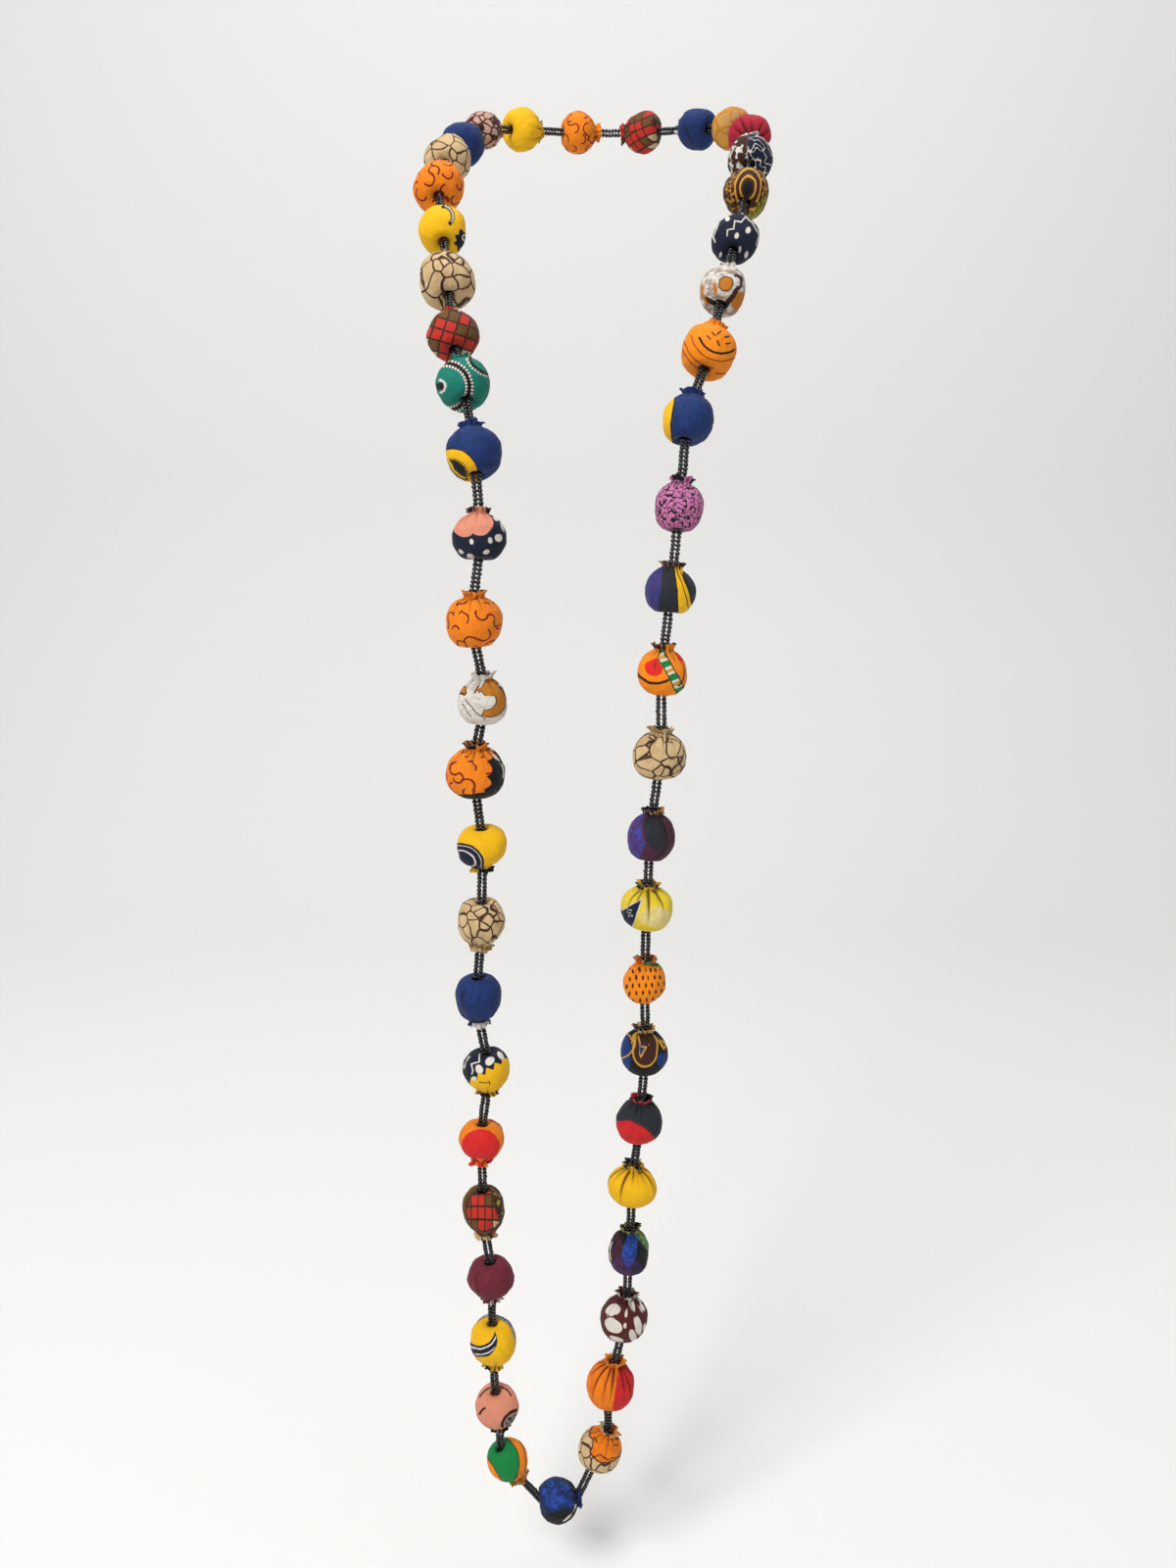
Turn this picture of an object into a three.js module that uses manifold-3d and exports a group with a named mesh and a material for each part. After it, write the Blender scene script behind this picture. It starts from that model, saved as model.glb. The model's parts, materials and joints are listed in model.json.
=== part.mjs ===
import * as THREE from "three";
import Module from "manifold-3d";
import { mergeVertices } from "three/addons/utils/BufferGeometryUtils.js";

// A long closed necklace of cloth-covered balls, with two strings of black seed beads running
// through all of them.
// Millimetres. +X is to the right of someone who looks at the wearer, -Y is the wearer's front, +Z is up.
// The origin is on the string, at the nape of the neck, where the necklace hangs on its wearer.

// Driving dimensions
const BEAD_DIAMETER = 22; // a usual ball, across its hole
const BEAD_LENGTH = 20.3; // a usual ball, along its hole, without the ruffle
const BEAD_SIDES = 10;
const DIMPLE_DEPTH = 1.6; // how far the smooth end's hole lies inside the ball's end
const PLEAT_DEPTH = 0.4; // how far the gathered cloth goes in and out of its mean
const RUFFLE_DIAMETER = 11.6;
const RUFFLE_HEIGHT = 2.5;
const RUFFLE_WAVE = 0.7; // how far the ruffle's edge goes in and out of its mean
const RUFFLE_LIP = 0.7; // the ruffle's edge, from the rim down to the hole's mouth
const TIE_CLOTH = 1.3; // the gathered cloth round the hole, where a thread ties it
const SEED_DIAMETER = 2.3;
const SEED_LENGTH = 1.8;
const SEEDS_PER_SPACER = 7;
const STRAND_SIDES = 8;
const STRAND_GAP = 0.3; // between the two strings of seeds
const BORE_CLEARANCE = 0.3; // between the strings and the wall of a bead's hole
const STRAND_STRAIGHT = 1.2; // how far a string runs on straight past the end of a bead
const NODE_GAP = 0.3; // between the ends of the front strings and those of the nape
const HANG_LEVEL = -235; // below this height the necklace hangs free, and a longer one hangs lower
const NECK_AXIS_Y = -71;
const NAPE_SHARE = 0.25; // the share of the closing spacer that lies past the nape, before the first bead

// Worked out from them
const SPACER_LENGTH = SEEDS_PER_SPACER * SEED_LENGTH;
const STRAND_OFFSET = (SEED_DIAMETER + STRAND_GAP) / 2;
const HALF_SIDE_ANGLE = Math.PI / BEAD_SIDES;
const BORE_RADIUS = (STRAND_OFFSET + SEED_DIAMETER / 2 + BORE_CLEARANCE) / Math.cos(HALF_SIDE_ANGLE);
const CORNER_SWELL = 2 / (1 + Math.cos(HALF_SIDE_ANGLE)); // puts the flats and corners about the true circle
const PLEATS = BEAD_SIDES / 2;

// The ball's outline from the smooth end to the gathered end, as shares of its half width and half length
const BALL_OUTLINE = [
  { across: 0.44, along: -0.96 },
  { across: 0.79, along: -0.66 },
  { across: 0.98, along: -0.22 },
  { across: 0.97, along: 0.27 },
  { across: 0.75, along: 0.72 },
];

// The string's route: from the nape round the -X side of the neck, down to the lowest point, and back up
// on the +X side
const ROUTE = [
  [0, 0, 0],
  [-38, -10, -1],
  [-62, -37, -5],
  [-73, -70, -17],
  [-80, -108, -33],
  [-81, -139, -50],
  [-77, -168, -72],
  [-73, -194, -96],
  [-68, -219, -121],
  [-58, -264, -168],
  [-55, -281, -235],
  [-57, -277, -301],
  [-58, -275, -372],
  [-58, -275, -443],
  [-58, -277, -516],
  [-56, -280, -587],
  [-49, -279, -658],
  [-24, -276, -683],
  [-2, -274, -652],
  [6, -267, -581],
  [11, -262, -511],
  [15, -261, -439],
  [18, -261, -369],
  [21, -261, -298],
  [24, -258, -226],
  [32, -240, -157],
  [50, -200, -101],
  [64, -149, -54],
  [72, -90, -20],
  [62, -40, -5],
  [38, -10, -1],
];

// The cloths, each with the colour that it shows most of
const CLOTHS = {
  orange_curls: 0xe07a14,
  orange_black: 0xd9740f,
  orange_disc: 0xe8641a,
  orange_red: 0xe26a10,
  orange_dashes: 0xe0791c,
  orange_squares: 0xdf6a1c,
  orange_arcs: 0xe8821a,
  tan_cells: 0xc9ab84,
  tan_orange: 0xd0924a,
  yellow_crest: 0xe9b90c,
  yellow_band: 0xe6b510,
  yellow_stripes: 0xe2b70f,
  yellow_plain: 0xe3b80e,
  yellow_dots: 0xd9bb14,
  red_squares: 0xb5311f,
  teal_bands: 0x0f6f60,
  blue_plain: 0x1c2f6e,
  blue_crescent: 0x1e3f96,
  blue_blotch: 0x1d2350,
  blue_streaks: 0x1b2b4f,
  peach_dots: 0x6d5a63,
  peach_arcs: 0xdf9273,
  white_ochre: 0xd8cfc0,
  navy_zigzag: 0x161c34,
  navy_steps: 0x141d33,
  navy_brown: 0x2a2740,
  burgundy_plain: 0x641428,
  crimson_plain: 0x9c1630,
  green_oval: 0x0b7a3c,
  brown_petals: 0x4a1c16,
  brown_gold: 0x3a2414,
  black_red: 0x1a181c,
  gold_ovals: 0x24222c,
  plum_petal: 0x38304e,
  slate_yellow: 0x33363f,
  pink_squiggles: 0xc46aa8,
  gold_tan: 0xb98a45,
  rose_lines: 0xc99a8c,
};
const SEED_COLOUR = 0x0b0b0d;

// The beads in the order of the route. Width, length and the spacer after the bead are shares of the usual
// sizes. The gathered end faces the bead before or the bead after. Aside moves a bead to the right by a
// share of the bead's usual diameter.
const BEFORE = -1;
const AFTER = 1;
const BEAD_COLUMNS = ["cloth", "width", "length", "gather", "spacer", "aside"];
const BEAD_ROWS = [
  ["orange_curls", 1.0, 1.0, BEFORE, 1.0, 0],
  ["yellow_plain", 1.0, 1.0, BEFORE, 1.05, 0],
  ["rose_lines", 0.87, 0.95, BEFORE, 0.95, 0],
  ["blue_plain", 0.97, 1.0, BEFORE, 0.7, 0],
  ["tan_cells", 1.03, 1.03, BEFORE, 1.15, 0],
  ["orange_curls", 1.1, 1.08, BEFORE, 1.1, 0],
  ["yellow_crest", 1.0, 1.05, BEFORE, 0.85, 0],
  ["tan_cells", 1.15, 1.15, BEFORE, 0.85, 0],
  ["red_squares", 1.02, 1.03, BEFORE, 0.6, -0.03],
  ["teal_bands", 1.03, 1.05, BEFORE, 0.95, 0.02],
  ["blue_crescent", 1.03, 1.08, BEFORE, 0.95, 0.04],
  ["peach_dots", 0.96, 0.94, BEFORE, 0.95, 0.05],
  ["orange_curls", 1.06, 1.05, BEFORE, 0.8, -0.08],
  ["white_ochre", 0.92, 0.99, BEFORE, 0.65, 0.07],
  ["orange_black", 1.16, 1.11, BEFORE, 1.0, -0.04],
  ["yellow_band", 0.97, 0.91, AFTER, 1.05, 0.06],
  ["tan_cells", 0.97, 1.04, AFTER, 1.0, 0.03],
  ["blue_plain", 0.98, 1.07, AFTER, 1.0, -0.06],
  ["navy_zigzag", 0.97, 0.97, AFTER, 1.1, 0.07],
  ["orange_disc", 0.93, 0.91, AFTER, 1.05, -0.05],
  ["red_squares", 0.9, 1.14, AFTER, 0.95, -0.05],
  ["burgundy_plain", 0.98, 0.94, AFTER, 0.9, 0.05],
  ["yellow_stripes", 1.0, 1.14, AFTER, 1.05, 0.01],
  ["peach_arcs", 0.96, 1.0, AFTER, 0.8, 0.02],
  ["green_oval", 0.86, 1.05, AFTER, 1.15, 0],
  ["blue_blotch", 0.99, 0.99, AFTER, 1.2, 0],
  ["tan_orange", 0.98, 1.06, AFTER, 0.95, -0.05],
  ["orange_red", 1.06, 1.15, AFTER, 0.85, -0.12],
  ["brown_petals", 1.03, 1.12, AFTER, 0.85, 0.08],
  ["blue_streaks", 0.9, 1.08, AFTER, 0.95, 0.05],
  ["yellow_plain", 1.03, 0.95, AFTER, 0.95, 0.02],
  ["black_red", 1.0, 1.02, AFTER, 1.0, 0.07],
  ["gold_ovals", 0.98, 1.05, AFTER, 1.0, 0.07],
  ["orange_dashes", 0.9, 0.95, AFTER, 1.1, -0.01],
  ["yellow_dots", 1.05, 0.98, AFTER, 0.85, -0.06],
  ["plum_petal", 0.95, 1.08, AFTER, 1.05, -0.07],
  ["tan_cells", 1.06, 1.04, AFTER, 1.1, 0.02],
  ["orange_squares", 0.97, 1.0, AFTER, 0.95, 0],
  ["slate_yellow", 0.97, 1.0, AFTER, 0.95, 0.06],
  ["pink_squiggles", 0.95, 1.04, AFTER, 1.15, 0.08],
  ["blue_crescent", 1.0, 1.05, AFTER, 0.8, 0.03],
  ["orange_arcs", 1.08, 1.1, AFTER, 0.95, 0.08],
  ["white_ochre", 0.94, 1.0, AFTER, 0.9, 0],
  ["navy_steps", 0.96, 1.0, AFTER, 1.15, 0],
  ["brown_gold", 0.99, 1.05, AFTER, 1.15, 0.03],
  ["navy_brown", 1.0, 1.0, AFTER, 0.75, -0.04],
  ["crimson_plain", 1.0, 0.95, BEFORE, 1.4, 0],
  ["gold_tan", 0.95, 0.95, AFTER, 1.05, 0],
  ["blue_plain", 1.0, 1.0, AFTER, 1.0, 0],
  ["red_squares", 1.0, 1.0, AFTER, 0.95, 0],
];
const FIRST_FRONT_BEAD = 5; // places in the table, counted from 0
const LAST_FRONT_BEAD = 44;

const wasm = await Module();
wasm.setup();

// Solids and meshes

function solidOf(geometry) {
  const bare = geometry.clone();
  bare.deleteAttribute("normal");
  bare.deleteAttribute("uv");
  const merged = mergeVertices(bare);
  return new wasm.Manifold(
    new wasm.Mesh({
      numProp: 3,
      vertProperties: merged.attributes.position.array,
      triVerts: new Uint32Array(merged.index.array),
    }),
  );
}

function geometryOf(solid) {
  const mesh = solid.getMesh();
  const geometry = new THREE.BufferGeometry();
  geometry.setAttribute("position", new THREE.BufferAttribute(mesh.vertProperties, 3));
  geometry.setIndex(new THREE.BufferAttribute(mesh.triVerts, 1));
  geometry.computeVertexNormals();
  return geometry;
}

function namedMesh(name, geometry, colour, roughness) {
  const material = new THREE.MeshStandardMaterial({ color: colour, roughness, metalness: 0 });
  const mesh = new THREE.Mesh(geometry, material);
  mesh.name = name;
  return mesh;
}

// The string's course

function readBeads() {
  return BEAD_ROWS.map((row) => {
    const bead = Object.fromEntries(BEAD_COLUMNS.map((column, i) => [column, row[i]]));
    return {
      ...bead,
      width: bead.width * BEAD_DIAMETER,
      length: bead.length * BEAD_LENGTH,
      spacer: bead.spacer * SPACER_LENGTH,
      aside: bead.aside * BEAD_DIAMETER,
    };
  });
}

// The route with its free-hanging part made longer or shorter by a factor
function routeCurve(drop) {
  const points = ROUTE.map(([x, y, z]) => {
    const height = z < HANG_LEVEL ? HANG_LEVEL + (z - HANG_LEVEL) * drop : z;
    return new THREE.Vector3(x, y, height);
  });
  const curve = new THREE.CatmullRomCurve3(points, true, "centripetal");
  curve.arcLengthDivisions = 1500;
  return curve;
}

// A string hangs as low as its length lets it, so the drop is halved down to the one that fits
function curveOfLength(length) {
  let low = 0.1;
  let high = 4;
  for (let i = 0; i < 30; i++) {
    const middle = (low + high) / 2;
    if (routeCurve(middle).getLength() < length) low = middle;
    else high = middle;
  }
  return routeCurve(low);
}

function placeBeads(beads) {
  const total = beads.reduce((sum, bead) => sum + bead.length + RUFFLE_HEIGHT + bead.spacer, 0);
  const curve = curveOfLength(total);
  let along = beads.at(-1).spacer * NAPE_SHARE;
  for (const bead of beads) {
    const ruffleBefore = bead.gather === BEFORE ? RUFFLE_HEIGHT : 0;
    bead.centre = curve.getPointAt((along + ruffleBefore + bead.length / 2) / total);
    bead.centre.x += bead.aside;
    along += bead.length + RUFFLE_HEIGHT + bead.spacer;
  }
  beads.forEach((bead, i) => {
    const before = beads.at(i - 1).centre;
    const after = beads[(i + 1) % beads.length].centre;
    const outward = new THREE.Vector3(bead.centre.x, bead.centre.y - NECK_AXIS_Y, 0).normalize();
    bead.axis = after.clone().sub(before).normalize();
    bead.side = new THREE.Vector3().crossVectors(bead.axis, outward).normalize();
  });
}

// The beads

function beadOutline(bead, isDrilled) {
  const halfWidth = (bead.width / 2) * CORNER_SWELL;
  const halfLength = bead.length / 2;
  const hole = isDrilled ? BORE_RADIUS : 0;
  const rim = halfLength + RUFFLE_HEIGHT;
  const points = [new THREE.Vector2(hole, DIMPLE_DEPTH - halfLength)];
  for (const { across, along } of BALL_OUTLINE)
    points.push(new THREE.Vector2(across * halfWidth, along * halfLength));
  points.push(new THREE.Vector2(BORE_RADIUS + TIE_CLOTH, halfLength));
  points.push(new THREE.Vector2(RUFFLE_DIAMETER / 2, rim));
  points.push(new THREE.Vector2(hole, rim - RUFFLE_LIP));
  if (isDrilled) points.push(points[0].clone());
  return points;
}

// Pushes the corners of the gathered third in and out by turns, and those of the ruffle's edge more
function pleat(geometry, bead) {
  const position = geometry.attributes.position;
  const tie = bead.length / 2;
  const point = new THREE.Vector3();
  for (let i = 0; i < position.count; i++) {
    point.fromBufferAttribute(position, i);
    const radius = Math.hypot(point.x, point.z);
    if (radius < BORE_RADIUS + TIE_CLOTH / 2 || point.y < tie / 2) continue;
    const depth = point.y > tie ? RUFFLE_WAVE : PLEAT_DEPTH;
    const wave = depth * Math.cos(PLEATS * Math.atan2(point.x, point.z));
    position.setXYZ(i, point.x * (1 + wave / radius), point.y, point.z * (1 + wave / radius));
  }
}

function beadGeometry(bead, isDrilled) {
  const geometry = new THREE.LatheGeometry(beadOutline(bead, isDrilled), BEAD_SIDES);
  pleat(geometry, bead);
  const up = bead.axis.clone().multiplyScalar(bead.gather);
  const across = new THREE.Vector3().crossVectors(bead.side, up);
  geometry.applyMatrix4(new THREE.Matrix4().makeBasis(bead.side, up, across).setPosition(bead.centre));
  return geometry;
}

// The strings of seed beads

// A path of straight runs that is only asked for at its corners
class CornerPath extends THREE.Curve {
  constructor(corners) {
    super();
    this.corners = corners;
    this.steps = corners.length - 1;
  }
  getPoint(t, target = new THREE.Vector3()) {
    return target.copy(this.corners[Math.round(t * this.steps)]);
  }
  getPointAt(t, target) {
    return this.getPoint(t, target);
  }
  runs(i) {
    const here = this.corners[i];
    const before = this.corners[Math.max(i - 1, 0)];
    const after = this.corners[Math.min(i + 1, this.steps)];
    return [here.clone().sub(before).normalize(), after.clone().sub(here).normalize()];
  }
  // How much a corner's turn narrows what follows the path: the cosine of half the turn
  mitre(i) {
    const [arriving, leaving] = this.runs(i);
    const isInside = i > 0 && i < this.steps;
    return isInside ? Math.sqrt((1 + arriving.dot(leaving)) / 2) : 1;
  }
  getTangent(t, target = new THREE.Vector3()) {
    const [arriving, leaving] = this.runs(Math.round(t * this.steps));
    return target.copy(arriving).add(leaving).normalize();
  }
  getTangentAt(t, target) {
    return this.getTangent(t, target);
  }
}

// Where the strings enter and leave a bead: past the ruffle's rim on one end, past the ball on the other
function beadEnds(bead) {
  const reachOf = (end) => bead.length / 2 + STRAND_STRAIGHT + (bead.gather === end ? RUFFLE_HEIGHT : 0);
  return [BEFORE, AFTER].map((end) => bead.centre.clone().addScaledVector(bead.axis, end * reachOf(end)));
}

// The middle of the spacer between two beads, moved towards the second by a distance
function spacerMiddle(first, second, move) {
  const from = beadEnds(first)[1];
  const to = beadEnds(second)[0];
  const direction = to.clone().sub(from).normalize();
  return from.lerp(to, 0.5).addScaledVector(direction, move);
}

// The corners moved sideways, further where the path turns, so that two strings keep their distance
function offsetCorners(path, offset) {
  return path.corners.map((corner, i) => {
    const tangent = path.getTangent(i / path.steps);
    const outward = new THREE.Vector3(corner.x, corner.y - NECK_AXIS_Y, 0);
    const side = new THREE.Vector3().crossVectors(tangent, outward).normalize();
    return corner.clone().addScaledVector(side, offset / path.mitre(i));
  });
}

function strandGeometry(before, beads, after, offset) {
  const middle = new CornerPath([
    spacerMiddle(before, beads[0], NODE_GAP / 2),
    ...beads.flatMap(beadEnds),
    spacerMiddle(beads.at(-1), after, -NODE_GAP / 2),
  ]);
  const section = new THREE.Shape().absarc(0, 0, SEED_DIAMETER / 2, 0, 2 * Math.PI);
  return new THREE.ExtrudeGeometry(section, {
    steps: middle.steps,
    curveSegments: STRAND_SIDES / 2,
    bevelEnabled: false,
    extrudePath: new CornerPath(offsetCorners(middle, offset)),
  });
}

function buildNecklace() {
  const necklace = new THREE.Group();
  const beads = readBeads();
  placeBeads(beads);
  const front = beads.slice(FIRST_FRONT_BEAD, LAST_FRONT_BEAD + 1);
  const nape = [...beads.slice(LAST_FRONT_BEAD + 1), ...beads.slice(0, FIRST_FRONT_BEAD)];

  front.forEach((bead, i) => {
    const name = `bead_${String(i + 1).padStart(2, "0")}_${bead.cloth}`;
    necklace.add(namedMesh(name, beadGeometry(bead, true), CLOTHS[bead.cloth], 0.85));
  });

  const strands = { a: STRAND_OFFSET, b: -STRAND_OFFSET };
  for (const [letter, offset] of Object.entries(strands)) {
    const geometry = strandGeometry(nape.at(-1), front, nape[0], offset);
    necklace.add(namedMesh(`seed_strand_${letter}`, geometry, SEED_COLOUR, 0.15));
  }

  let fused = wasm.Manifold.union(nape.map((bead) => solidOf(beadGeometry(bead, false))));
  for (const offset of Object.values(strands))
    fused = fused.add(solidOf(strandGeometry(front.at(-1), nape, front[0], offset)));
  necklace.add(namedMesh("nape_string", geometryOf(fused), CLOTHS[nape[0].cloth], 0.85));
  return necklace;
}

export default buildNecklace();
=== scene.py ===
import functools
import json
import math
import operator
import random

import bpy
import numpy as np
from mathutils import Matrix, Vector


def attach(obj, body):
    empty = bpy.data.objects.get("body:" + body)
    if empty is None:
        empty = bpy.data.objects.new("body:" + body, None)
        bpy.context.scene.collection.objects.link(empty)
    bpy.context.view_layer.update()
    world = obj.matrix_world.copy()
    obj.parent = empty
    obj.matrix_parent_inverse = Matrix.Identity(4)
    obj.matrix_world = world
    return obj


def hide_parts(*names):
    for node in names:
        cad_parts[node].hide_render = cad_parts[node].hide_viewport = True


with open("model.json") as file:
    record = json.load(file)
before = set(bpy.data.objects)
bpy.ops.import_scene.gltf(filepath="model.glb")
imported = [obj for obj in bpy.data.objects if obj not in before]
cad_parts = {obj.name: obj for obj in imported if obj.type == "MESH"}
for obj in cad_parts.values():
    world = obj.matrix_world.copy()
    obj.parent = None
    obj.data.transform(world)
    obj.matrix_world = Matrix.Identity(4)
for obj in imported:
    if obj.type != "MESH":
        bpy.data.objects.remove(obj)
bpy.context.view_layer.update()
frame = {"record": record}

# A long necklace of cloth-covered balls
# Lengths are in millimetres until a mesh is made, and MM turns them to metres.
MM = 0.001
FULL_TURN = 2 * math.pi

# The string's course
BEAD_DIAMETER = 22
BEAD_LENGTH = 20.3
RUFFLE_HEIGHT = 2.5
SEED_DIAMETER = 2.3
SEED_LENGTH = 1.8
SPACER_LENGTH = 7 * SEED_LENGTH
HANG_LEVEL = -235  # below it the string hangs free, and its drop is fitted to the beads' whole length
DROP_LEAST, DROP_MOST, DROP_HALVINGS = 0.1, 4.0, 30
NECK_AXIS_Y = -71
NECK_SIDE_Y = -60  # beads behind it show their prints away from the neck
NAPE_SHARE = 0.25  # share of the last spacer that lies past the start of the course
CURVE_STEPS = 1500

ROUTE = [
    (0, 0, 0), (-38, -10, -1), (-62, -37, -5), (-73, -70, -17), (-80, -108, -33), (-81, -139, -50),
    (-77, -168, -72), (-73, -194, -96), (-68, -219, -121), (-58, -264, -168), (-55, -281, -235),
    (-57, -277, -301), (-58, -275, -372), (-58, -275, -443), (-58, -277, -516), (-56, -280, -587),
    (-49, -279, -658), (-24, -276, -683), (-2, -274, -652), (6, -267, -581), (11, -262, -511),
    (15, -261, -439), (18, -261, -369), (21, -261, -298), (24, -258, -226), (32, -240, -157),
    (50, -200, -101), (64, -149, -54), (72, -90, -20), (62, -40, -5), (38, -10, -1),
]

# cloth, width, length, spacer after it, and how far it is set aside, as shares of the usual sizes
BEAD_ROWS = [
    ("orange_curls", 1, 1, 1, 0), ("yellow_plain", 1, 1, 1.05, 0), ("rose_lines", 0.87, 0.95, 0.95, 0),
    ("blue_plain", 0.97, 1, 0.7, 0), ("tan_cells", 1.03, 1.03, 1.15, 0), ("orange_curls", 1.1, 1.08, 1.1, 0),
    ("yellow_crest", 1, 1.05, 0.85, 0), ("tan_cells", 1.15, 1.15, 0.85, 0),
    ("red_squares", 1.02, 1.03, 0.6, -0.03), ("teal_bands", 1.03, 1.05, 0.95, 0.02),
    ("blue_crescent", 1.03, 1.08, 0.95, 0.04), ("peach_dots", 0.96, 0.94, 0.95, 0.05),
    ("orange_curls", 1.06, 1.05, 0.8, -0.08), ("white_ochre", 0.92, 0.99, 0.65, 0.07),
    ("orange_black", 1.16, 1.11, 1, -0.04), ("yellow_band", 0.97, 0.91, 1.05, 0.06),
    ("tan_cells", 0.97, 1.04, 1, 0.03), ("blue_plain", 0.98, 1.07, 1, -0.06),
    ("navy_zigzag", 0.97, 0.97, 1.1, 0.07), ("orange_disc", 0.93, 0.91, 1.05, -0.05),
    ("red_squares", 0.9, 1.14, 0.95, -0.05), ("burgundy_plain", 0.98, 0.94, 0.9, 0.05),
    ("yellow_stripes", 1, 1.14, 1.05, 0.01), ("peach_arcs", 0.96, 1, 0.8, 0.02),
    ("green_oval", 0.86, 1.05, 1.15, 0), ("blue_blotch", 0.99, 0.99, 1.2, 0),
    ("tan_orange", 0.98, 1.06, 0.95, -0.05), ("orange_red", 1.06, 1.15, 0.85, -0.12),
    ("brown_petals", 1.03, 1.12, 0.85, 0.08), ("blue_streaks", 0.9, 1.08, 0.95, 0.05),
    ("yellow_plain", 1.03, 0.95, 0.95, 0.02), ("black_red", 1, 1.02, 1, 0.07),
    ("gold_ovals", 0.98, 1.05, 1, 0.07), ("orange_dashes", 0.9, 0.95, 1.1, -0.01),
    ("yellow_dots", 1.05, 0.98, 0.85, -0.06), ("plum_petal", 0.95, 1.08, 1.05, -0.07),
    ("tan_cells", 1.06, 1.04, 1.1, 0.02), ("orange_squares", 0.97, 1, 0.95, 0),
    ("slate_yellow", 0.97, 1, 0.95, 0.06), ("pink_squiggles", 0.95, 1.04, 1.15, 0.08),
    ("blue_crescent", 1, 1.05, 0.8, 0.03), ("orange_arcs", 1.08, 1.1, 0.95, 0.08),
    ("white_ochre", 0.94, 1, 0.9, 0), ("navy_steps", 0.96, 1, 1.15, 0),
    ("brown_gold", 0.99, 1.05, 1.15, 0.03), ("navy_brown", 1, 1, 0.75, -0.04),
    ("crimson_plain", 1, 0.95, 1.4, 0), ("gold_tan", 0.95, 0.95, 1.05, 0), ("blue_plain", 1, 1, 1, 0),
    ("red_squares", 1, 1, 0.95, 0),
]
GATHERED_BEFORE = {*range(15), 46}  # these beads have their ruffle towards the bead before
FIRST_FRONT, LAST_FRONT = 5, 44

CAMERA_PLACE = Vector((-10, -823, -156))
CAMERA_PITCH = 74.5
CAMERA_LENS = 30.33


def unit(v):
    return v / np.linalg.norm(v)


class Route:
    """A closed centripetal Catmull-Rom curve, asked for by share of its length."""

    def __init__(self, drop):
        points = np.array(ROUTE, float)
        low = points[:, 2] < HANG_LEVEL
        points[low, 2] = HANG_LEVEL + (points[low, 2] - HANG_LEVEL) * drop
        self.points = points
        self.t = np.linspace(0, 1, CURVE_STEPS + 1)
        steps = np.linalg.norm(np.diff(self.at(self.t), axis=0), axis=1)
        self.lengths = np.concatenate([[0], np.cumsum(steps)])

    def at(self, t):
        n = len(self.points)
        place = np.asarray(t, float) * n
        i = np.floor(place).astype(int)
        w = (place - i)[..., None]
        p0, p1, p2, p3 = (self.points[(i + k) % n] for k in (-1, 0, 1, 2))
        pairs = ((p0, p1), (p1, p2), (p2, p3))
        d0, d1, d2 = (np.sqrt(np.linalg.norm(b - a, axis=-1))[..., None] for a, b in pairs)
        t1 = ((p1 - p0) / d0 - (p2 - p0) / (d0 + d1) + (p2 - p1) / d1) * d1
        t2 = ((p2 - p1) / d1 - (p3 - p1) / (d1 + d2) + (p3 - p2) / d2) * d1
        return p1 + t1 * w + (-3 * p1 + 3 * p2 - 2 * t1 - t2) * w**2 + (2 * p1 - 2 * p2 + t1 + t2) * w**3

    def length(self):
        return self.lengths[-1]

    def at_share(self, share):
        return self.at(np.interp(share * self.length(), self.lengths, self.t))


def outward_at(place):
    """The level direction away from the neck."""
    return unit(np.array([place[0], place[1] - NECK_AXIS_Y, 0]))


def read_beads():
    names = ("cloth", "width", "length", "spacer", "aside")
    scales = {"width": BEAD_DIAMETER, "length": BEAD_LENGTH, "spacer": SPACER_LENGTH, "aside": BEAD_DIAMETER}
    beads = [{k: v * scales.get(k, 1) for k, v in zip(names, row)} for row in BEAD_ROWS]
    total = sum(b["length"] + RUFFLE_HEIGHT + b["spacer"] for b in beads)
    low, high = DROP_LEAST, DROP_MOST
    for _ in range(DROP_HALVINGS):
        middle = (low + high) / 2
        low, high = (middle, high) if Route(middle).length() < total else (low, middle)
    route = Route(low)
    along = beads[-1]["spacer"] * NAPE_SHARE
    for i, b in enumerate(beads):
        b["gather"] = -1 if i in GATHERED_BEFORE else 1
        before = RUFFLE_HEIGHT if b["gather"] < 0 else 0
        b["centre"] = route.at_share((along + before + b["length"] / 2) / total)
        b["centre"][0] += b["aside"]
        along += b["length"] + RUFFLE_HEIGHT + b["spacer"]
    for i, b in enumerate(beads):
        b["axis"] = unit(beads[(i + 1) % len(beads)]["centre"] - beads[i - 1]["centre"])
        b["outward"] = outward_at(b["centre"])
        b["side"] = unit(np.cross(b["axis"], b["outward"]))
        b["place"] = i
    return beads


beads = read_beads()


# Meshes
def new_object(name, points, faces, material):
    """A smooth object, from points in metres."""
    mesh = bpy.data.meshes.new(name)
    mesh.from_pydata(points, [], faces)
    mesh.polygons.foreach_set("use_smooth", [True] * len(mesh.polygons))
    mesh.materials.append(material)
    made = bpy.data.objects.new(name, mesh)
    bpy.context.scene.collection.objects.link(made)
    return made


def new_piece(name, points, faces, material, node_name):
    """A piece of the necklace, from points in millimetres, in place of a node."""
    made = new_object(name, (points * MM).tolist(), faces.tolist(), material)
    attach(made, "root")
    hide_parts(node_name)
    return made


def grid_faces(rows, columns, close_rows):
    """Quads of a grid whose columns close on themselves, and whose rows do if asked."""
    i, j = np.meshgrid(np.arange(rows if close_rows else rows - 1), np.arange(columns), indexing="ij")
    a, b = i * columns + j, i * columns + (j + 1) % columns
    c, d = (i + 1) % rows * columns + (j + 1) % columns, (i + 1) % rows * columns + j
    return np.stack([a, b, c, d], axis=-1).reshape(-1, 4)


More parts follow.
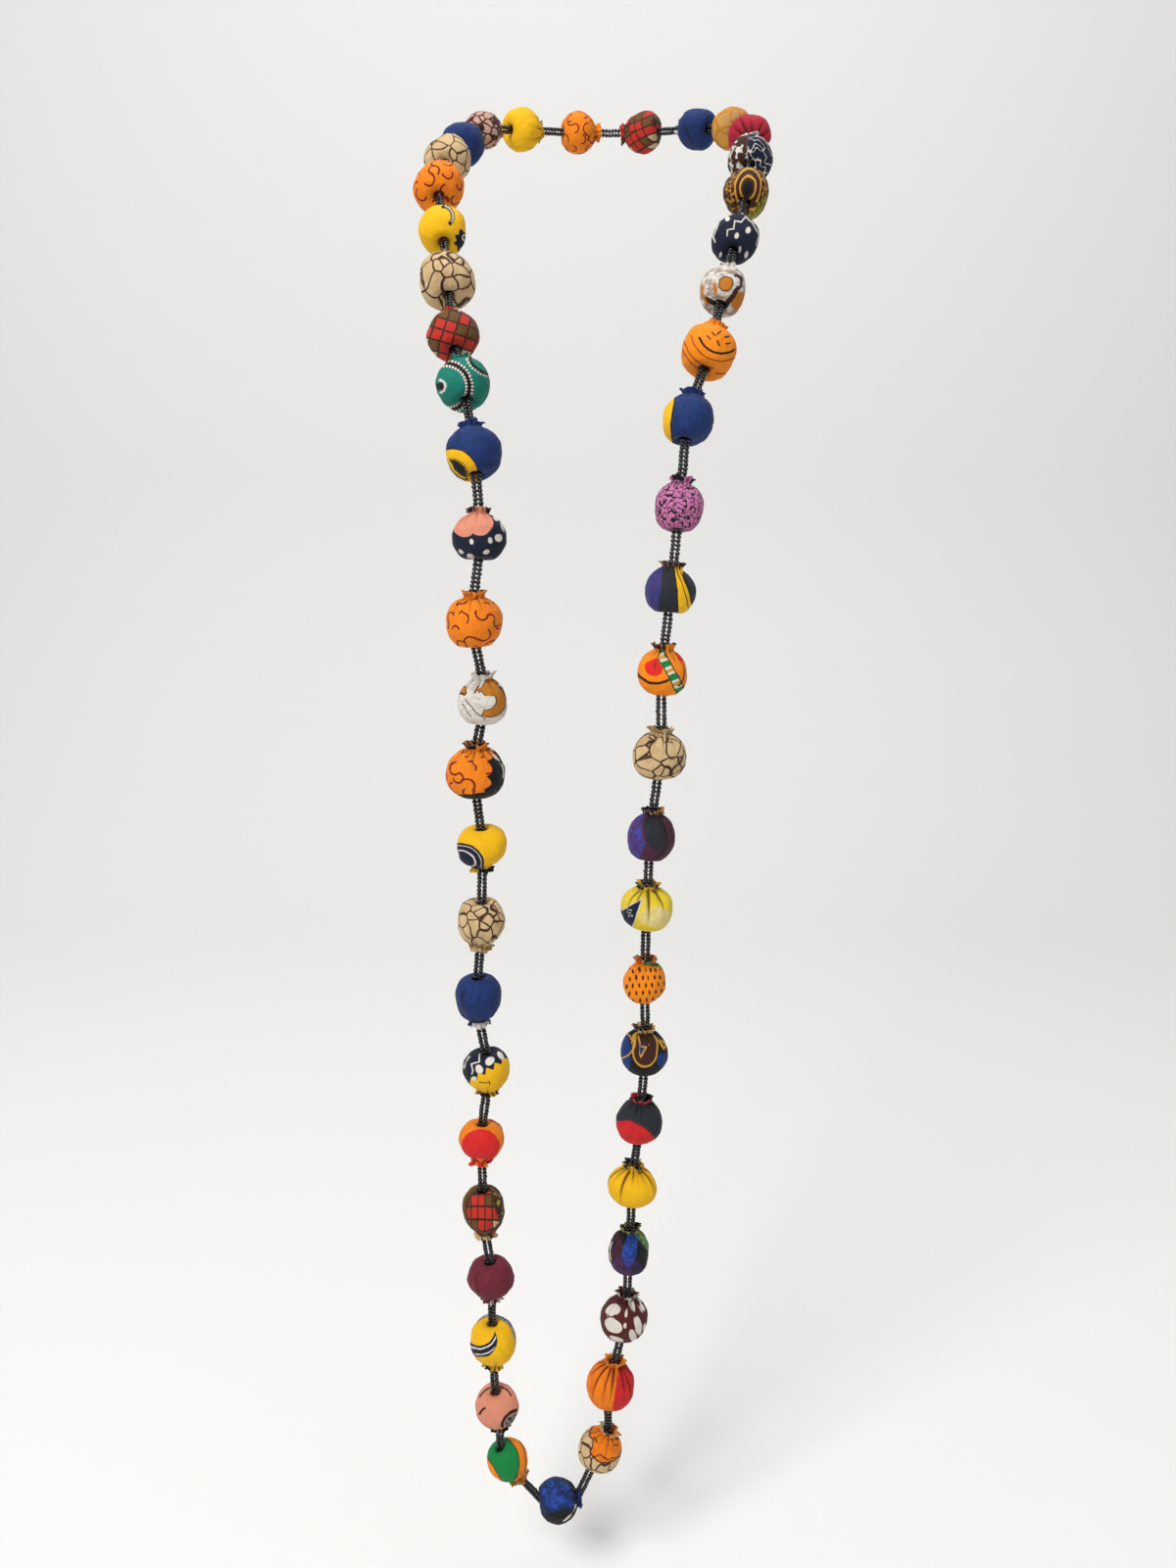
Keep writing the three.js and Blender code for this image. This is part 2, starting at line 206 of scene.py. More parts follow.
def smoothstep(x):
    x = np.clip(x, 0, 1)
    return x * x * (3 - 2 * x)


# The ball and its cloth
SIDES = 130
BALL_ROWS = 38
ROW_CROWDING = 1.12  # above 1 sets the rows closer towards the gathered end
HOLE = 2.7  # radius of the smooth end's hole
BORE = HOLE - 0.1
BORE_DEPTH = 1.6  # how far the cloth goes into the hole
TIE = 4.0  # radius at which the thread gathers the cloth
TIE_DIP = 0.6  # how far the tie lies below the ball's gathered end
TIE_START = 0.88  # share of the way down at which the cloth starts to bend to the tie
DIMPLE = 1.7
DIMPLE_REACH = 0.62  # of the half width
DIMPLE_CURVE = 1.8
ROUND_SMOOTH = 2.3  # of the half with the smooth end: 2 is an ellipse, more is squarer
ROUND_GATHERED = 2.05
CLOTH_THICK = 0.6
STAND_OFF = 0.85  # how far the cloth's relief leans along the axis at the ball's ends
STAND_OFF_ALONG = 0.7  # share of that lean that is used along the axis
LUMPS_FADE = 0.06  # share of the way down over which the lumps fade in from the hole
LUMPS_ON_RUFFLE = 0.3
PRINT_SHIFT = 0.13  # how far the pleats draw the print aside, in ball radii
PRINT_SHIFT_START, PRINT_SHIFT_RUN = 0.45, 0.5  # shares of the way down
SEED_OF_BEADS = 7000

# The ruffle's rows, as shares of the way out to its edge: its outside, its edge and its inside
RUFFLE_OUTSIDE = (0.12, 0.26, 0.4, 0.54, 0.68, 0.8, 0.9, 0.97)
RUFFLE_EDGE = 1.03
RUFFLE_INSIDE = (1.0, 0.9, 0.75, 0.58, 0.4, 0.2)
RUFFLE_VALLEY = 4.15  # radius of the ruffle's edge at a crease
RUFFLE_LOBE = 2.1  # how far it stands out between two creases
RUFFLE_LEAST = HOLE + 0.1  # its least radius, past the seeds in the hole
RUFFLE_FLARE, RUFFLE_RISE = 1.35, 1.3  # powers of its way out and of its way up
RUFFLE_LEAN = 0.17  # how far a lobe's edge leans aside, in radians
RUFFLE_DROOP = 1.1
RUFFLE_WAVES = ((5, 0.3), (9, 0.22), (17, 0.16), (31, 0.09))  # waves round the edge, height

# Pleats by cloth: how many, how deep, and how far down the ball they reach (1 is to the smooth end)
PLEATS = {
    "yellow_plain": (11, 1.0, 0.78),
    "crimson_plain": (10, 1.2, 0.75),
    "yellow_dots": (12, 1.25, 0.85),
    "orange_red": (13, 1.2, 0.85),
    "tan_cells": (12, 0.75, 0.5),
    "tan_orange": (12, 0.8, 0.6),
    "blue_crescent": (11, 0.85, 0.6),
}
PLEATS_USUAL = (12, 0.7, 0.52)
PLEAT_FULL = 1.02  # way down at which a pleat is at its deepest
CREASE_WIDTH = 0.55
FOLD_WIDTH = 1.6
WRINKLES = 34  # small creases between the pleats
WRINKLE_WIDTH = 0.38
WRINKLE_DEPTH = 0.2
LUMPS = ((19.0, 0.3, 4), (9.0, 0.11, 6), (4.0, 0.06, 8), (1.8, 0.03, 10))  # wavelength, height, waves
LUMPS_PEAK = 1.4  # a wave's height, over the usual height of all the waves of its length


def turned_back(angle):
    """The same angle between minus and plus half a turn."""
    return (angle + math.pi) % FULL_TURN - math.pi


class Pleats:
    """The creases that the gathering thread makes, each with its own place, depth, reach and lean."""

    def __init__(self, cloth, rng):
        count, self.depth, self.reach = PLEATS.get(cloth, PLEATS_USUAL)
        count += rng.integers(-1, 2)
        turns = (np.arange(count) + rng.uniform(-0.28, 0.28, count)) / count
        self.angles = np.sort(turns) * FULL_TURN
        self.deep = rng.uniform(0.5, 1.25, count)
        self.starts = 1 - self.reach * rng.uniform(0.45, 1.15, count)
        self.lean = rng.uniform(-1, 1, count)
        self.shift = rng.uniform(-1, 1, (count, 3))
        self.out = rng.uniform(0.3, 1.1, count)
        self.up = rng.uniform(-0.8, 1, count)
        self.droop = rng.uniform(0, 1, count) ** 2
        ranges = ((0, FULL_TURN), (0.3, 1), (0.35, 0.85))
        self.wrinkles = list(zip(*(rng.uniform(low, high, WRINKLES) for low, high in ranges)))

    def sector(self, phi):
        return (np.searchsorted(self.angles, phi) - 1) % len(self.angles)

    def between(self, phi):
        """0 at the creases on both sides of a point, 1 midway."""
        k = self.sector(phi)
        start = self.angles[k]
        span = (np.roll(self.angles, -1)[k] - start) % FULL_TURN
        return np.clip(np.sin(np.pi * ((phi - start) % FULL_TURN) / span), 0, 1)

    def relief(self, phi, down, across):
        """How far the cloth stands off its mean, and how deep in a crease it is from 0 to 1."""
        relief = np.zeros(np.broadcast(phi, down).shape)
        crease = np.zeros_like(relief)
        for angle, deep, start, lean in zip(self.angles, self.deep, self.starts, self.lean):
            away = turned_back(phi - angle)
            ramp = smoothstep((down - start) / (PLEAT_FULL - start)) ** 0.8
            gap = np.abs(away) * across
            groove = np.exp(-((gap / CREASE_WIDTH) ** 1.2)) * deep * ramp
            fold = np.where(away * lean > 0, np.exp(-gap / FOLD_WIDTH), 0) * abs(lean) * ramp
            relief += self.depth * (0.55 * fold - groove)
            crease = np.maximum(crease, groove)
        for angle, deep, start in self.wrinkles:
            away = turned_back(phi - angle - 0.25 * (1 - down) * math.sin(9 * angle))
            ramp = smoothstep((down - start) / (PLEAT_FULL - start))
            groove = np.exp(-((np.abs(away) * across / WRINKLE_WIDTH) ** 2)) * deep * ramp
            relief -= WRINKLE_DEPTH * groove
            crease = np.maximum(crease, 0.45 * groove)
        hump = self.between(phi) * smoothstep((down - 1 + self.reach) / self.reach)
        return relief + 0.45 * self.depth * hump, np.clip(crease, 0, 1)


def bead_rows(half_width, half_length):
    """The cloth's course from the smooth hole over the ball to the tie, out along the ruffle and back in.

    A row is across, along, share of the way down to the tie, share of the way out to the ruffle's edge,
    and the side: 0 for the outside, 1 for the ruffle's inside, 2 for the hole.
    """
    start = math.asin((HOLE / half_width) ** (ROUND_SMOOTH / 2))
    end = math.pi - math.asin((TIE / half_width) ** (ROUND_GATHERED / 2))
    tie_height = half_length - TIE_DIP
    natural = half_length * abs(math.cos(end)) ** (2 / ROUND_GATHERED)
    rim = DIMPLE_REACH * half_width
    rows = [(BORE, -half_length + DIMPLE + BORE_DEPTH, 0.0, 0.0, 0.0)]
    for i in range(BALL_ROWS):
        down = i / (BALL_ROWS - 1)
        theta = start + (end - start) * (1 - (1 - down) ** ROW_CROWDING)
        power = 2 / (ROUND_SMOOTH if theta < math.pi / 2 else ROUND_GATHERED)
        across = half_width * math.sin(theta) ** power
        along = -half_length * math.copysign(abs(math.cos(theta)) ** power, math.cos(theta))
        if theta < math.pi / 2:
            along += DIMPLE * max(0, (rim - across) / (rim - HOLE)) ** DIMPLE_CURVE
        along += (tie_height - natural) * smoothstep((down - TIE_START) / (1 - TIE_START))
        rows.append((across, along, down, 0.0, 0.0))
    rows += [(TIE, tie_height, 1.0, v, 0.0) for v in RUFFLE_OUTSIDE]
    rows.append((TIE, tie_height, 1.0, RUFFLE_EDGE, 0.5))
    rows += [(TIE, tie_height, 1.0, v, 1.0) for v in RUFFLE_INSIDE]
    rows.append((BORE, half_length - BORE_DEPTH, 1.0, 0.0, 2.0))
    return np.array(rows)


def lumps_at(rng, x, y, z):
    """How far the ball's swellings and its cloth's small wrinkles stand off."""
    lumps = np.zeros(np.broadcast(x, z).shape)
    for size, height, count in LUMPS:
        for _ in range(count):
            k = rng.normal(size=3)
            k *= FULL_TURN / size / np.linalg.norm(k)
            phase = k[0] * x + k[1] * y + k[2] * z + rng.uniform(0, 6.28)
            lumps += height / math.sqrt(count) * LUMPS_PEAK * np.sin(phase)
    return lumps


def ruffle_course(rng, pleats, phi, ruffle, inner, half_length):
    """Radius, height and twist of the cloth past the tie, with a lobe between each two creases."""
    sector = pleats.sector(phi)
    lobe = pleats.between(phi) ** 0.6
    crumple = sum(size * np.sin(n * phi + rng.uniform(0, 6) + 2.5 * ruffle) for n, size in RUFFLE_WAVES)
    tie_relief, _ = pleats.relief(phi, np.ones((1, 1)), np.full((1, 1), TIE))
    tie_radius = TIE + tie_relief * 0.8
    edge_radius = RUFFLE_VALLEY + RUFFLE_LOBE * lobe * pleats.out[sector] + crumple
    edge_height = RUFFLE_HEIGHT + TIE_DIP - 0.35 + 0.45 * pleats.up[sector] * lobe + 0.7 * crumple[:, ::-1]
    radius = tie_radius + (edge_radius - tie_radius) * ruffle**RUFFLE_FLARE
    radius = radius - CLOTH_THICK * inner * (1.1 - 0.5 * ruffle)
    height = half_length - TIE_DIP + edge_height * (1 - (1 - np.minimum(ruffle, 1)) ** RUFFLE_RISE)
    height = height - RUFFLE_DROOP * pleats.droop[sector] * lobe * ruffle**3
    height = height + 0.5 * CLOTH_THICK * inner * ruffle
    return radius, height, RUFFLE_LEAN * pleats.lean[sector] * lobe * ruffle


def bead_mesh(bead, name, material, slot, node_name):
    rng = np.random.default_rng(SEED_OF_BEADS + bead["place"])
    half_width, half_length = bead["width"] / 2, bead["length"] / 2
    pleats = Pleats(bead["cloth"], rng)
    rows = bead_rows(half_width, half_length)
    across, along, down, ruffle, inner = (rows[:, k][:, None] for k in range(5))
    phi = np.linspace(0, FULL_TURN, SIDES, endpoint=False)[None, :]
    x0, y0, z0 = across * np.sin(phi), across * np.cos(phi), along + 0 * phi

    # the ball, whose cloth stands off along its slope
    relief, crease = pleats.relief(phi, down, across)
    lumps = lumps_at(rng, x0, y0, z0)
    on_ball = (inner < 2) * (1 - 0.5 * (ruffle > 0)) * smoothstep(down / LUMPS_FADE)
    offset = relief * (down > 0) * (ruffle == 0) + lumps * on_ball
    rise = STAND_OFF * np.clip(along / half_length, -1, 1)
    radius = across + offset * np.sqrt(1 - rise**2)
    height = z0 + offset * rise * STAND_OFF_ALONG

    # the ruffle
    ruffle_radius, ruffle_height, twist = ruffle_course(rng, pleats, phi, ruffle, inner, half_length)
    on_ruffle = (ruffle > 0) | (inner == 1)
    radius = np.where(on_ruffle, np.maximum(ruffle_radius, RUFFLE_LEAST) + LUMPS_ON_RUFFLE * lumps, radius)
    height = np.where(on_ruffle, ruffle_height, height)
    turned = phi + np.where(on_ruffle, twist, 0)

    side, up = bead["side"], bead["axis"] * bead["gather"]
    third = np.cross(side, up)
    points = (
        bead["centre"]
        + (radius * np.sin(turned))[..., None] * side
        + height[..., None] * up
        + (radius * np.cos(turned))[..., None] * third
    )

    # the print, in ball radii: x to the right and y up as seen from the front, z towards the viewer
    toward = unit(np.array(CAMERA_PLACE) - bead["centre"])
    if bead["centre"][1] > NECK_SIDE_Y:
        toward = bead["outward"]
    right = unit(np.cross([0.0, 0.0, 1.0], toward))
    above = np.cross(toward, right)
    drawn_in = smoothstep((down - PRINT_SHIFT_START) / PRINT_SHIFT_RUN)
    flat = np.stack([x0 / half_width, z0 / half_length, y0 / half_width], axis=-1)
    flat = flat + pleats.shift[pleats.sector(phi)] * (PRINT_SHIFT * drawn_in)[..., None]
    space = flat[..., 0:1] * side + flat[..., 1:2] * up + flat[..., 2:3] * third
    look = np.stack([space @ right, space @ above, space @ toward], axis=-1)

    # the same turned at random, for patterns that fall differently on each ball
    swatch = look @ np.linalg.qr(rng.normal(size=(3, 3)))[0]

    # the cloth laid flat, in mm from the smooth end
    reach = half_width * (np.pi * (0.08 + 0.92 * down) + 0.35 * ruffle)
    laid = np.stack([reach * np.sin(phi), reach * np.cos(phi), 0 * phi + 0 * reach], axis=-1)

    # crease depth on the ball, and nearness to a crease on the ruffle, sent to the material only for painted
    # shade in the creases
    crease_shade_amount = crease * (ruffle == 0) + 0.35 * (1 - pleats.between(phi)) * (ruffle > 0)
    folds = np.stack([crease_shade_amount, ruffle + 0 * phi, inner + 0 * phi], axis=-1)

    faces = grid_faces(len(rows), SIDES, True)[:, ::-1]
    made = new_piece(name, points.reshape(-1, 3), faces, material, node_name)
    for attribute, values in (("print", look), ("swatch", swatch), ("laid", laid), ("folds", folds)):
        layer = made.data.attributes.new(attribute, "FLOAT_VECTOR", "POINT")
        layer.data.foreach_set("vector", values.reshape(-1).astype(np.float32))


# Node expressions
class Value:
    """A number or vector at each point of a surface, which arithmetic turns into nodes."""

    def __init__(self, tree, socket):
        self.tree, self.socket = tree, socket

    def math(self, operation, *others):
        return node(self.tree, "ShaderNodeMath", [self, *others], operation=operation)

    def vector(self, operation, *others, output=0):
        return node(self.tree, "ShaderNodeVectorMath", [self, *others], output, operation=operation)

    def __rsub__(self, other):
        return node(self.tree, "ShaderNodeMath", [other, self], operation="SUBTRACT")

    __add__ = __radd__ = functools.partialmethod(math, "ADD")
    __mul__ = __rmul__ = functools.partialmethod(math, "MULTIPLY")
    __sub__ = functools.partialmethod(math, "SUBTRACT")
    __truediv__ = functools.partialmethod(math, "DIVIDE")
    __and__ = functools.partialmethod(math, "MINIMUM")
    __or__ = functools.partialmethod(math, "MAXIMUM")
    __neg__ = functools.partialmethod(math, "MULTIPLY", -1)
    __abs__ = functools.partialmethod(math, "ABSOLUTE")
    length = functools.partialmethod(vector, "LENGTH", output="Value")
    dot = functools.partialmethod(vector, "DOT_PRODUCT", output="Value")
    distance = functools.partialmethod(vector, "DISTANCE", output="Value")

    def parts(self):
        made = self.tree.nodes.new("ShaderNodeSeparateXYZ")
        self.tree.links.new(self.socket, made.inputs[0])
        return [Value(self.tree, made.outputs[k]) for k in range(3)]


def node(tree, kind, inputs=(), output=0, **settings):
    """A new node's output. inputs is a list by place or a dict by name or place."""
    made = tree.nodes.new(kind)
    for key, value in settings.items():
        setattr(made, key, value)
    for key, value in inputs.items() if isinstance(inputs, dict) else enumerate(inputs):
        if isinstance(value, Value):
            tree.links.new(value.socket, made.inputs[key])
        else:
            made.inputs[key].default_value = value
    return Value(tree, made.outputs[output])


def clouds(vector, scale, detail, output=0, **more):
    """Noise over a vector."""
    inputs = {"Vector": vector, "Scale": scale, "Detail": detail, **more}
    return node(vector.tree, "ShaderNodeTexNoise", inputs, output)


def wobble(vector, scale, detail, size):
    """Small uneven shifts over a vector."""
    cloud = clouds(vector, scale, detail, "Color")
    return cloud.vector("SUBTRACT", (0.5, 0.5, 0.5)).vector("MULTIPLY", (size, size, size))


def either(fields):
    """Above 0 where any of some fields is."""
    return functools.reduce(operator.or_, fields)


def new_material(name):
    """A material without nodes, and its tree."""
    material = bpy.data.materials.new(name)
    material.use_nodes = True
    material.node_tree.nodes.clear()
    return material, material.node_tree


def shade_with(tree, inputs):
    """Gives a tree its shader and output."""
    shader = node(tree, "ShaderNodeBsdfPrincipled", inputs)
    out = tree.nodes.new("ShaderNodeOutputMaterial")
    tree.links.new(shader.socket, out.inputs[0])


def linear(colour):
    """A hexadecimal sRGB colour as linear RGBA."""
    parts = [(colour >> shift & 255) / 255 for shift in (16, 8, 0)]
    return tuple(p / 12.92 if p <= 0.04045 else ((p + 0.055) / 1.055) ** 2.4 for p in parts) + (1.0,)


COLOURS = {
    "orange": 0xEC850C, "deep_orange": 0xD8600C, "dark_red": 0x72100C, "red": 0xD4221A, "crimson": 0xA5142C,
    "burgundy": 0x701E34, "yellow": 0xEAB206, "gold": 0xC8922E, "ochre": 0xB87018, "cream": 0xCDB084,
    "tan": 0xA98652, "white": 0xDAD3C8, "teal": 0x087262, "green": 0x0A7E3C, "lime": 0x8A922A,
    "blue": 0x12306C, "lemon": 0xE0C41A, "brick": 0xB82A1E, "bright_blue": 0x2A4CB0, "navy": 0x10162C,
    "purple": 0x4C3070, "plum": 0x451E34, "peach": 0xD4886C, "pink": 0xBE6E9C, "rose": 0xC49A8C,
    "brown": 0x3A1A10, "earth": 0x62421A, "wine": 0x501814, "black": 0x0A0A0D, "slate": 0x22262C,
    "grey": 0x86847E,
}
THREAD_PITCH = 0.42
EDGE = 0.018  # half the blur of a print's edges, in ball radii
MIX_SHARE, MIX_BELOW, MIX_ABOVE, MIX_RESULT = 0, 6, 7, 2  # sockets of a node that mixes two colours


class Cloth:
    """One printed cotton, drawn as layers of ink over its ground."""

    def __init__(self, name, ground):
        self.material, self.tree = new_material("cloth_" + name)
        self.colour = node(self.tree, "ShaderNodeRGB")
        self.colour.socket.default_value = linear(COLOURS[ground])
        self.look = self.attribute("print")
        self.laid = self.attribute("laid")
        self.crease, self.ruffle, _ = self.attribute("folds").parts()
        shifts = wobble(self.look, 3.2, 2.0, 0.06)
        self.ball = self.attribute("swatch").vector("ADD", shifts)
        x, y, z = self.look.vector("ADD", shifts).parts()
        back = z & 0.0
        self.flat = node(self.tree, "ShaderNodeCombineXYZ", [x + 0.5 * back, y - 0.3 * back, 0.0])

    def attribute(self, name):
        return node(self.tree, "ShaderNodeAttribute", output="Vector", attribute_name=name)

    def ink(self, name, field, edge=EDGE, most=1.0):
        """Lays a colour where a field is above 0, or only a part of it."""
        limits = [field, -edge, edge, 0.0, most]
        share = node(self.tree, "ShaderNodeMapRange", limits, interpolation_type="SMOOTHSTEP")
        layers = {MIX_SHARE: share, MIX_BELOW: self.colour, MIX_ABOVE: linear(COLOURS[name])}
        self.colour = node(self.tree, "ShaderNodeMix", layers, MIX_RESULT, data_type="RGBA")

    def at(self, x, y, turn=0, a=1, b=1):
        """The seen plane moved to a point, turned by degrees and shrunk by a and b."""
        inputs = [self.flat, (x, y, 0), (0, 0, math.radians(turn)), (a, b, 1)]
        return node(self.tree, "ShaderNodeMapping", inputs, vector_type="TEXTURE")

    def angle(self, x, y):
        """The direction in which a point is seen from x, y, in radians."""
        u, v, _ = self.at(x, y).parts()
        return v.math("ARCTAN2", u)

    def disc(self, x, y, r):
        return r - self.flat.distance((x, y, 0))

    def oval(self, x, y, a, b, turn=0):
        return (1 - self.at(x, y, turn, a, b).length()) * min(a, b)

    def ovals(self, *rows):
        return either(self.oval(*row) for row in rows)

    def side(self, x, y, turn):
        """Above 0 beyond the line through a point, on the side that a direction in degrees points to."""
        return self.at(x, y, turn).parts()[0]

    def ring(self, x, y, r, w, start=None, end=None):
        """A line of half width w along a circle, or along part of it from one direction to another."""
        out = self.flat.vector("SUBTRACT", (x, y, 0))
        away = out.length()
        line = w - abs(away - r)
        if start is None:
            return line
        middle, half = math.radians((start + end) / 2), math.radians((end - start) / 2)
        facing = out.dot((math.cos(middle), math.sin(middle), 0)) / away
        return line & (facing - math.cos(half)) * r

    def stroke(self, points, w):
        """A line of half width w through some points."""
        runs = []
        for (x1, y1), (x2, y2) in zip(points, points[1:]):
            half = math.hypot(x2 - x1, y2 - y1) / 2
            turn = math.degrees(math.atan2(y2 - y1, x2 - x1))
            u, v, _ = self.at((x1 + x2) / 2, (y1 + y2) / 2, turn).parts()
            runs.append(w - (abs(v) | (abs(u) - half)))
        return either(runs)

    def ring_dots(self, x, y, r, step, size):
        """Dots along a circle, a step apart in radians."""
        across = self.at(x, y).length() - r
        along = self.angle(x, y).math("PINGPONG", step / 2) * r
        return size - (across * across + along * along * 1.1).math("SQRT")

    def cells(self, size):
        """The distance to the edge of a cell with bent sides, in ball radii."""
        bent = self.ball.vector("ADD", wobble(self.ball, 1.5, 0.0, 0.3))
        inputs = {"Vector": bent, "Scale": 1 / size, "Randomness": 0.75}
        return node(self.tree, "ShaderNodeTexVoronoi", inputs, feature="DISTANCE_TO_EDGE") * size

    def curl(self, centre, r, way, half, w):
        """A curved line on the ball, with tapered ends: part of a circle that faces one way."""
        out = self.ball.vector("SUBTRACT", tuple(centre))
        far = out.length()
        open_part = out.dot(tuple(way)) / far - math.cos(half)
        return (open_part * 0.2 & w) - abs(far - r)

    def noise(self, size, detail=2.0, move=0.0):
        return clouds(self.look.vector("ADD", (move, move, move)), 1 / size, detail)

    def patch(self, size, above, move=0.0):
        """Uneven blotches: a field above 0 where a noise is above a level."""
        return (self.noise(size, 3.0, move) - above) * size

    def streaks(self, name, sizes, above, move=0.0, edge=0.06, most=1.0):
        """Brushed streaks, long along one direction."""
        vector = self.look.vector("MULTIPLY", tuple(1 / s for s in sizes)).vector("ADD", (move, move, move))
        self.ink(name, clouds(vector, 1.0, 3.0) - above, edge, most)

    # dark lines painted along the bottoms of the creases: painted shade
    def paint_crease_shade(self, name, above, edge, most):
        self.ink(name, self.crease - above, edge, most)

    def frill(self, *names):
        """The colours that come by turns along the ruffle."""
        turn = self.noise(0.3, 1.0, 3.0 + len(names))
        self.ink(names[0], self.ruffle - 0.3, 0.08)
        for i, name in enumerate(names[1:]):
            self.ink(name, (self.ruffle - 0.25) & (turn - 0.5 - 0.07 * i) * 2.0, 0.03)

    def finish(self):
        """Cotton over the print: weave, uneven dye, wrinkles with painted light on their raised parts and
        painted shade in their hollows, painted shade in the creases, and a soft nap.
        """
        tree = self.tree
        grain = clouds(self.laid, 1.6, 6.0, Roughness=0.7)
        wrinkle = clouds(self.laid, 0.42, 5.0, Distortion=0.7)
        # the wrinkle term lightens the wrinkles' raised parts and darkens their hollows: painted light and
        # shade; grain and the broad noise are uneven dye
        shade = 0.72 + 0.2 * grain + 0.12 * self.noise(0.7, 2.0, 5.0) + 0.2 * wrinkle
        u, v, _ = self.laid.parts()
        warp, weft = ((along * (math.pi / THREAD_PITCH)).math("SINE") for along in (u, v))
        over = (warp * weft).math("GREATER_THAN", 0.0)
        weave = abs(warp) * over + abs(weft) * (1.0 - over)
        # the colour is darker in the creases: painted shade
        shade = shade * (0.92 + 0.1 * weave) * (1.0 - 0.6 * self.crease)
        self.colour = node(tree, "ShaderNodeVectorMath", [self.colour, shade], operation="MULTIPLY")
        # cut threads at the ruffle's edge show paler
        self.ink("grey", (self.ruffle - 0.94) * 8.0 & self.patch(0.08, 0.45, 9.0) * 4.0, 0.2, 0.5)
        bump = node(tree, "ShaderNodeBump", {"Strength": 0.6, "Distance": 0.0007, "Height": wrinkle})
        threads = {"Strength": 0.35, "Distance": 0.00012, "Height": weave * 0.6 + grain * 0.9, "Normal": bump}
        bump = node(tree, "ShaderNodeBump", threads)
        shade_with(tree, {
            "Base Color": self.colour,
            "Roughness": 0.6 + 0.22 * grain,
            "Sheen Weight": 0.04,
            "Sheen Roughness": 0.45,
            "Specular IOR Level": 0.24,
            "Normal": bump,
        })
        return self.material


# The prints
# Places and sizes are in ball radii, from the middle of the ball as seen from the front.
DRAWINGS = {}
CURLS, CURLS_SEED = 28, 3
CURL_LINE = 0.036  # half the width of a hook's line
TAIL_HALF = math.radians(75)
GOLDEN_ANGLE = math.pi * (3 - math.sqrt(5))


def drawing(ground, *frills):
    """Lists a print under its function's name, with its ground and its ruffle's colours."""
    def listed(draw):
        DRAWINGS[draw.__name__] = (ground, draw, frills)
        return draw
    return listed


@drawing("orange", "orange")
def orange_curls(c):
    """Hooks scattered over the whole ball, half of them with a tail that bends back."""
    c.streaks("deep_orange", (0.6, 0.6, 0.6), 0.5, 4.0, 0.2, 0.45)
    rng = random.Random(CURLS_SEED)
    hooks = []
    for i in range(CURLS):
        z = 1 - (2 * i + 1) / CURLS
        turn = i * GOLDEN_ANGLE + rng.uniform(-0.2, 0.2)
        level = math.sqrt(1 - z * z)
        centre = Vector((level * math.cos(turn), level * math.sin(turn), z))
        way = centre.cross(Vector([rng.gauss(0, 1) for _ in range(3)])).normalized()
        r = rng.uniform(0.17, 0.25)
        half = math.radians(rng.uniform(85, 120))
        hooks.append(c.curl(centre, r, way, half, CURL_LINE))
        if i % 2:
            aside = centre.cross(way)
            end = way * math.cos(half) + aside * math.sin(half)
            tail_way = (aside * math.cos(half) - way * math.sin(half) - end).normalized()
            hooks.append(c.curl(centre + end * 2 * r, r, tail_way, TAIL_HALF, CURL_LINE))
    c.ink("dark_red", either(hooks))


@drawing("cream", "cream", "tan")
def tan_cells(c, ink="brown", size=0.6, width=0.03):
    c.streaks("tan", (0.9, 0.9, 0.9), 0.55, 1.0, 0.15)
    c.ink(ink, width - c.cells(size))


@drawing("brick", "earth", "red")
def red_squares(c, size=0.42, turn=-18, tall=1.0):
    """Small squares in red, brown and tan with dark outlines."""
    grid = c.at(0.07, 0.04, turn, size, size * tall)
    cell = {"Vector": grid.vector("FLOOR")}
    which = node(c.tree, "ShaderNodeTexWhiteNoise", cell, "Value", noise_dimensions="3D")
    u, v, _ = grid.vector("FRACTION").parts()
    c.ink("earth", which - 0.5, 0.001)
    c.ink("cream", which - 0.84, 0.001)
    c.ink("brown", 0.085 - (u & (1 - u) & v & (1 - v)), 0.03)


def streaked_with_fold_shade(c, ink):
    """Uneven streaks along the ball, and a dark arc painted at its left as the shade of a fold."""
    c.streaks(ink, (0.12, 0.7, 0.12), 0.5, 2.0, 0.25, 0.5)
    # the dark arc at the left is painted shade of a fold
    c.ink(ink, c.ring(0.05, -0.15, 0.72, 0.06, 145, 222), 0.05, 0.95)


@drawing("yellow", "yellow", "black")
def yellow_crest(c):
    c.ink("black", c.ring(0.02, 0.55, 0.4, 0.075, -52, 95))
    c.ink("white", c.ring_dots(0.02, 0.55, 0.41, 0.2, 0.034) & c.ring(0.02, 0.55, 0.41, 0.1, -35, 75))
    lobes = (c.angle(0.82, -0.42) * 8.0).math("SINE")
    c.ink("black", c.oval(0.82, -0.42, 0.34, 0.42) + 0.05 * lobes)
    c.ink("white", c.ring(0.88, -0.26, 0.1, 0.025) | c.oval(0.74, -0.68, 0.1, 0.04, 25))


@drawing("teal", "teal")
def teal_bands(c):
    c.ink("black", c.ring(-0.65, -0.1, 0.86, 0.15))
    for r, step in ((0.755, 0.15), (0.965, 0.13)):
        c.ink("white", c.ring_dots(-0.65, -0.1, r, step, 0.044))
    c.ink("black", c.ring(0.95, 1.15, 0.78, 0.05, 185, 268))
    c.ink("white", c.ring_dots(0.95, 1.15, 0.86, 0.14, 0.038) & c.ring(0.95, 1.15, 0.86, 0.1, 185, 268))
    c.ink("black", c.oval(-0.84, -0.08, 0.17, 0.13))
    c.ink("white", c.ring_dots(-0.9, -0.08, 0.23, 0.42, 0.05) & c.side(-0.9, 0, 0))


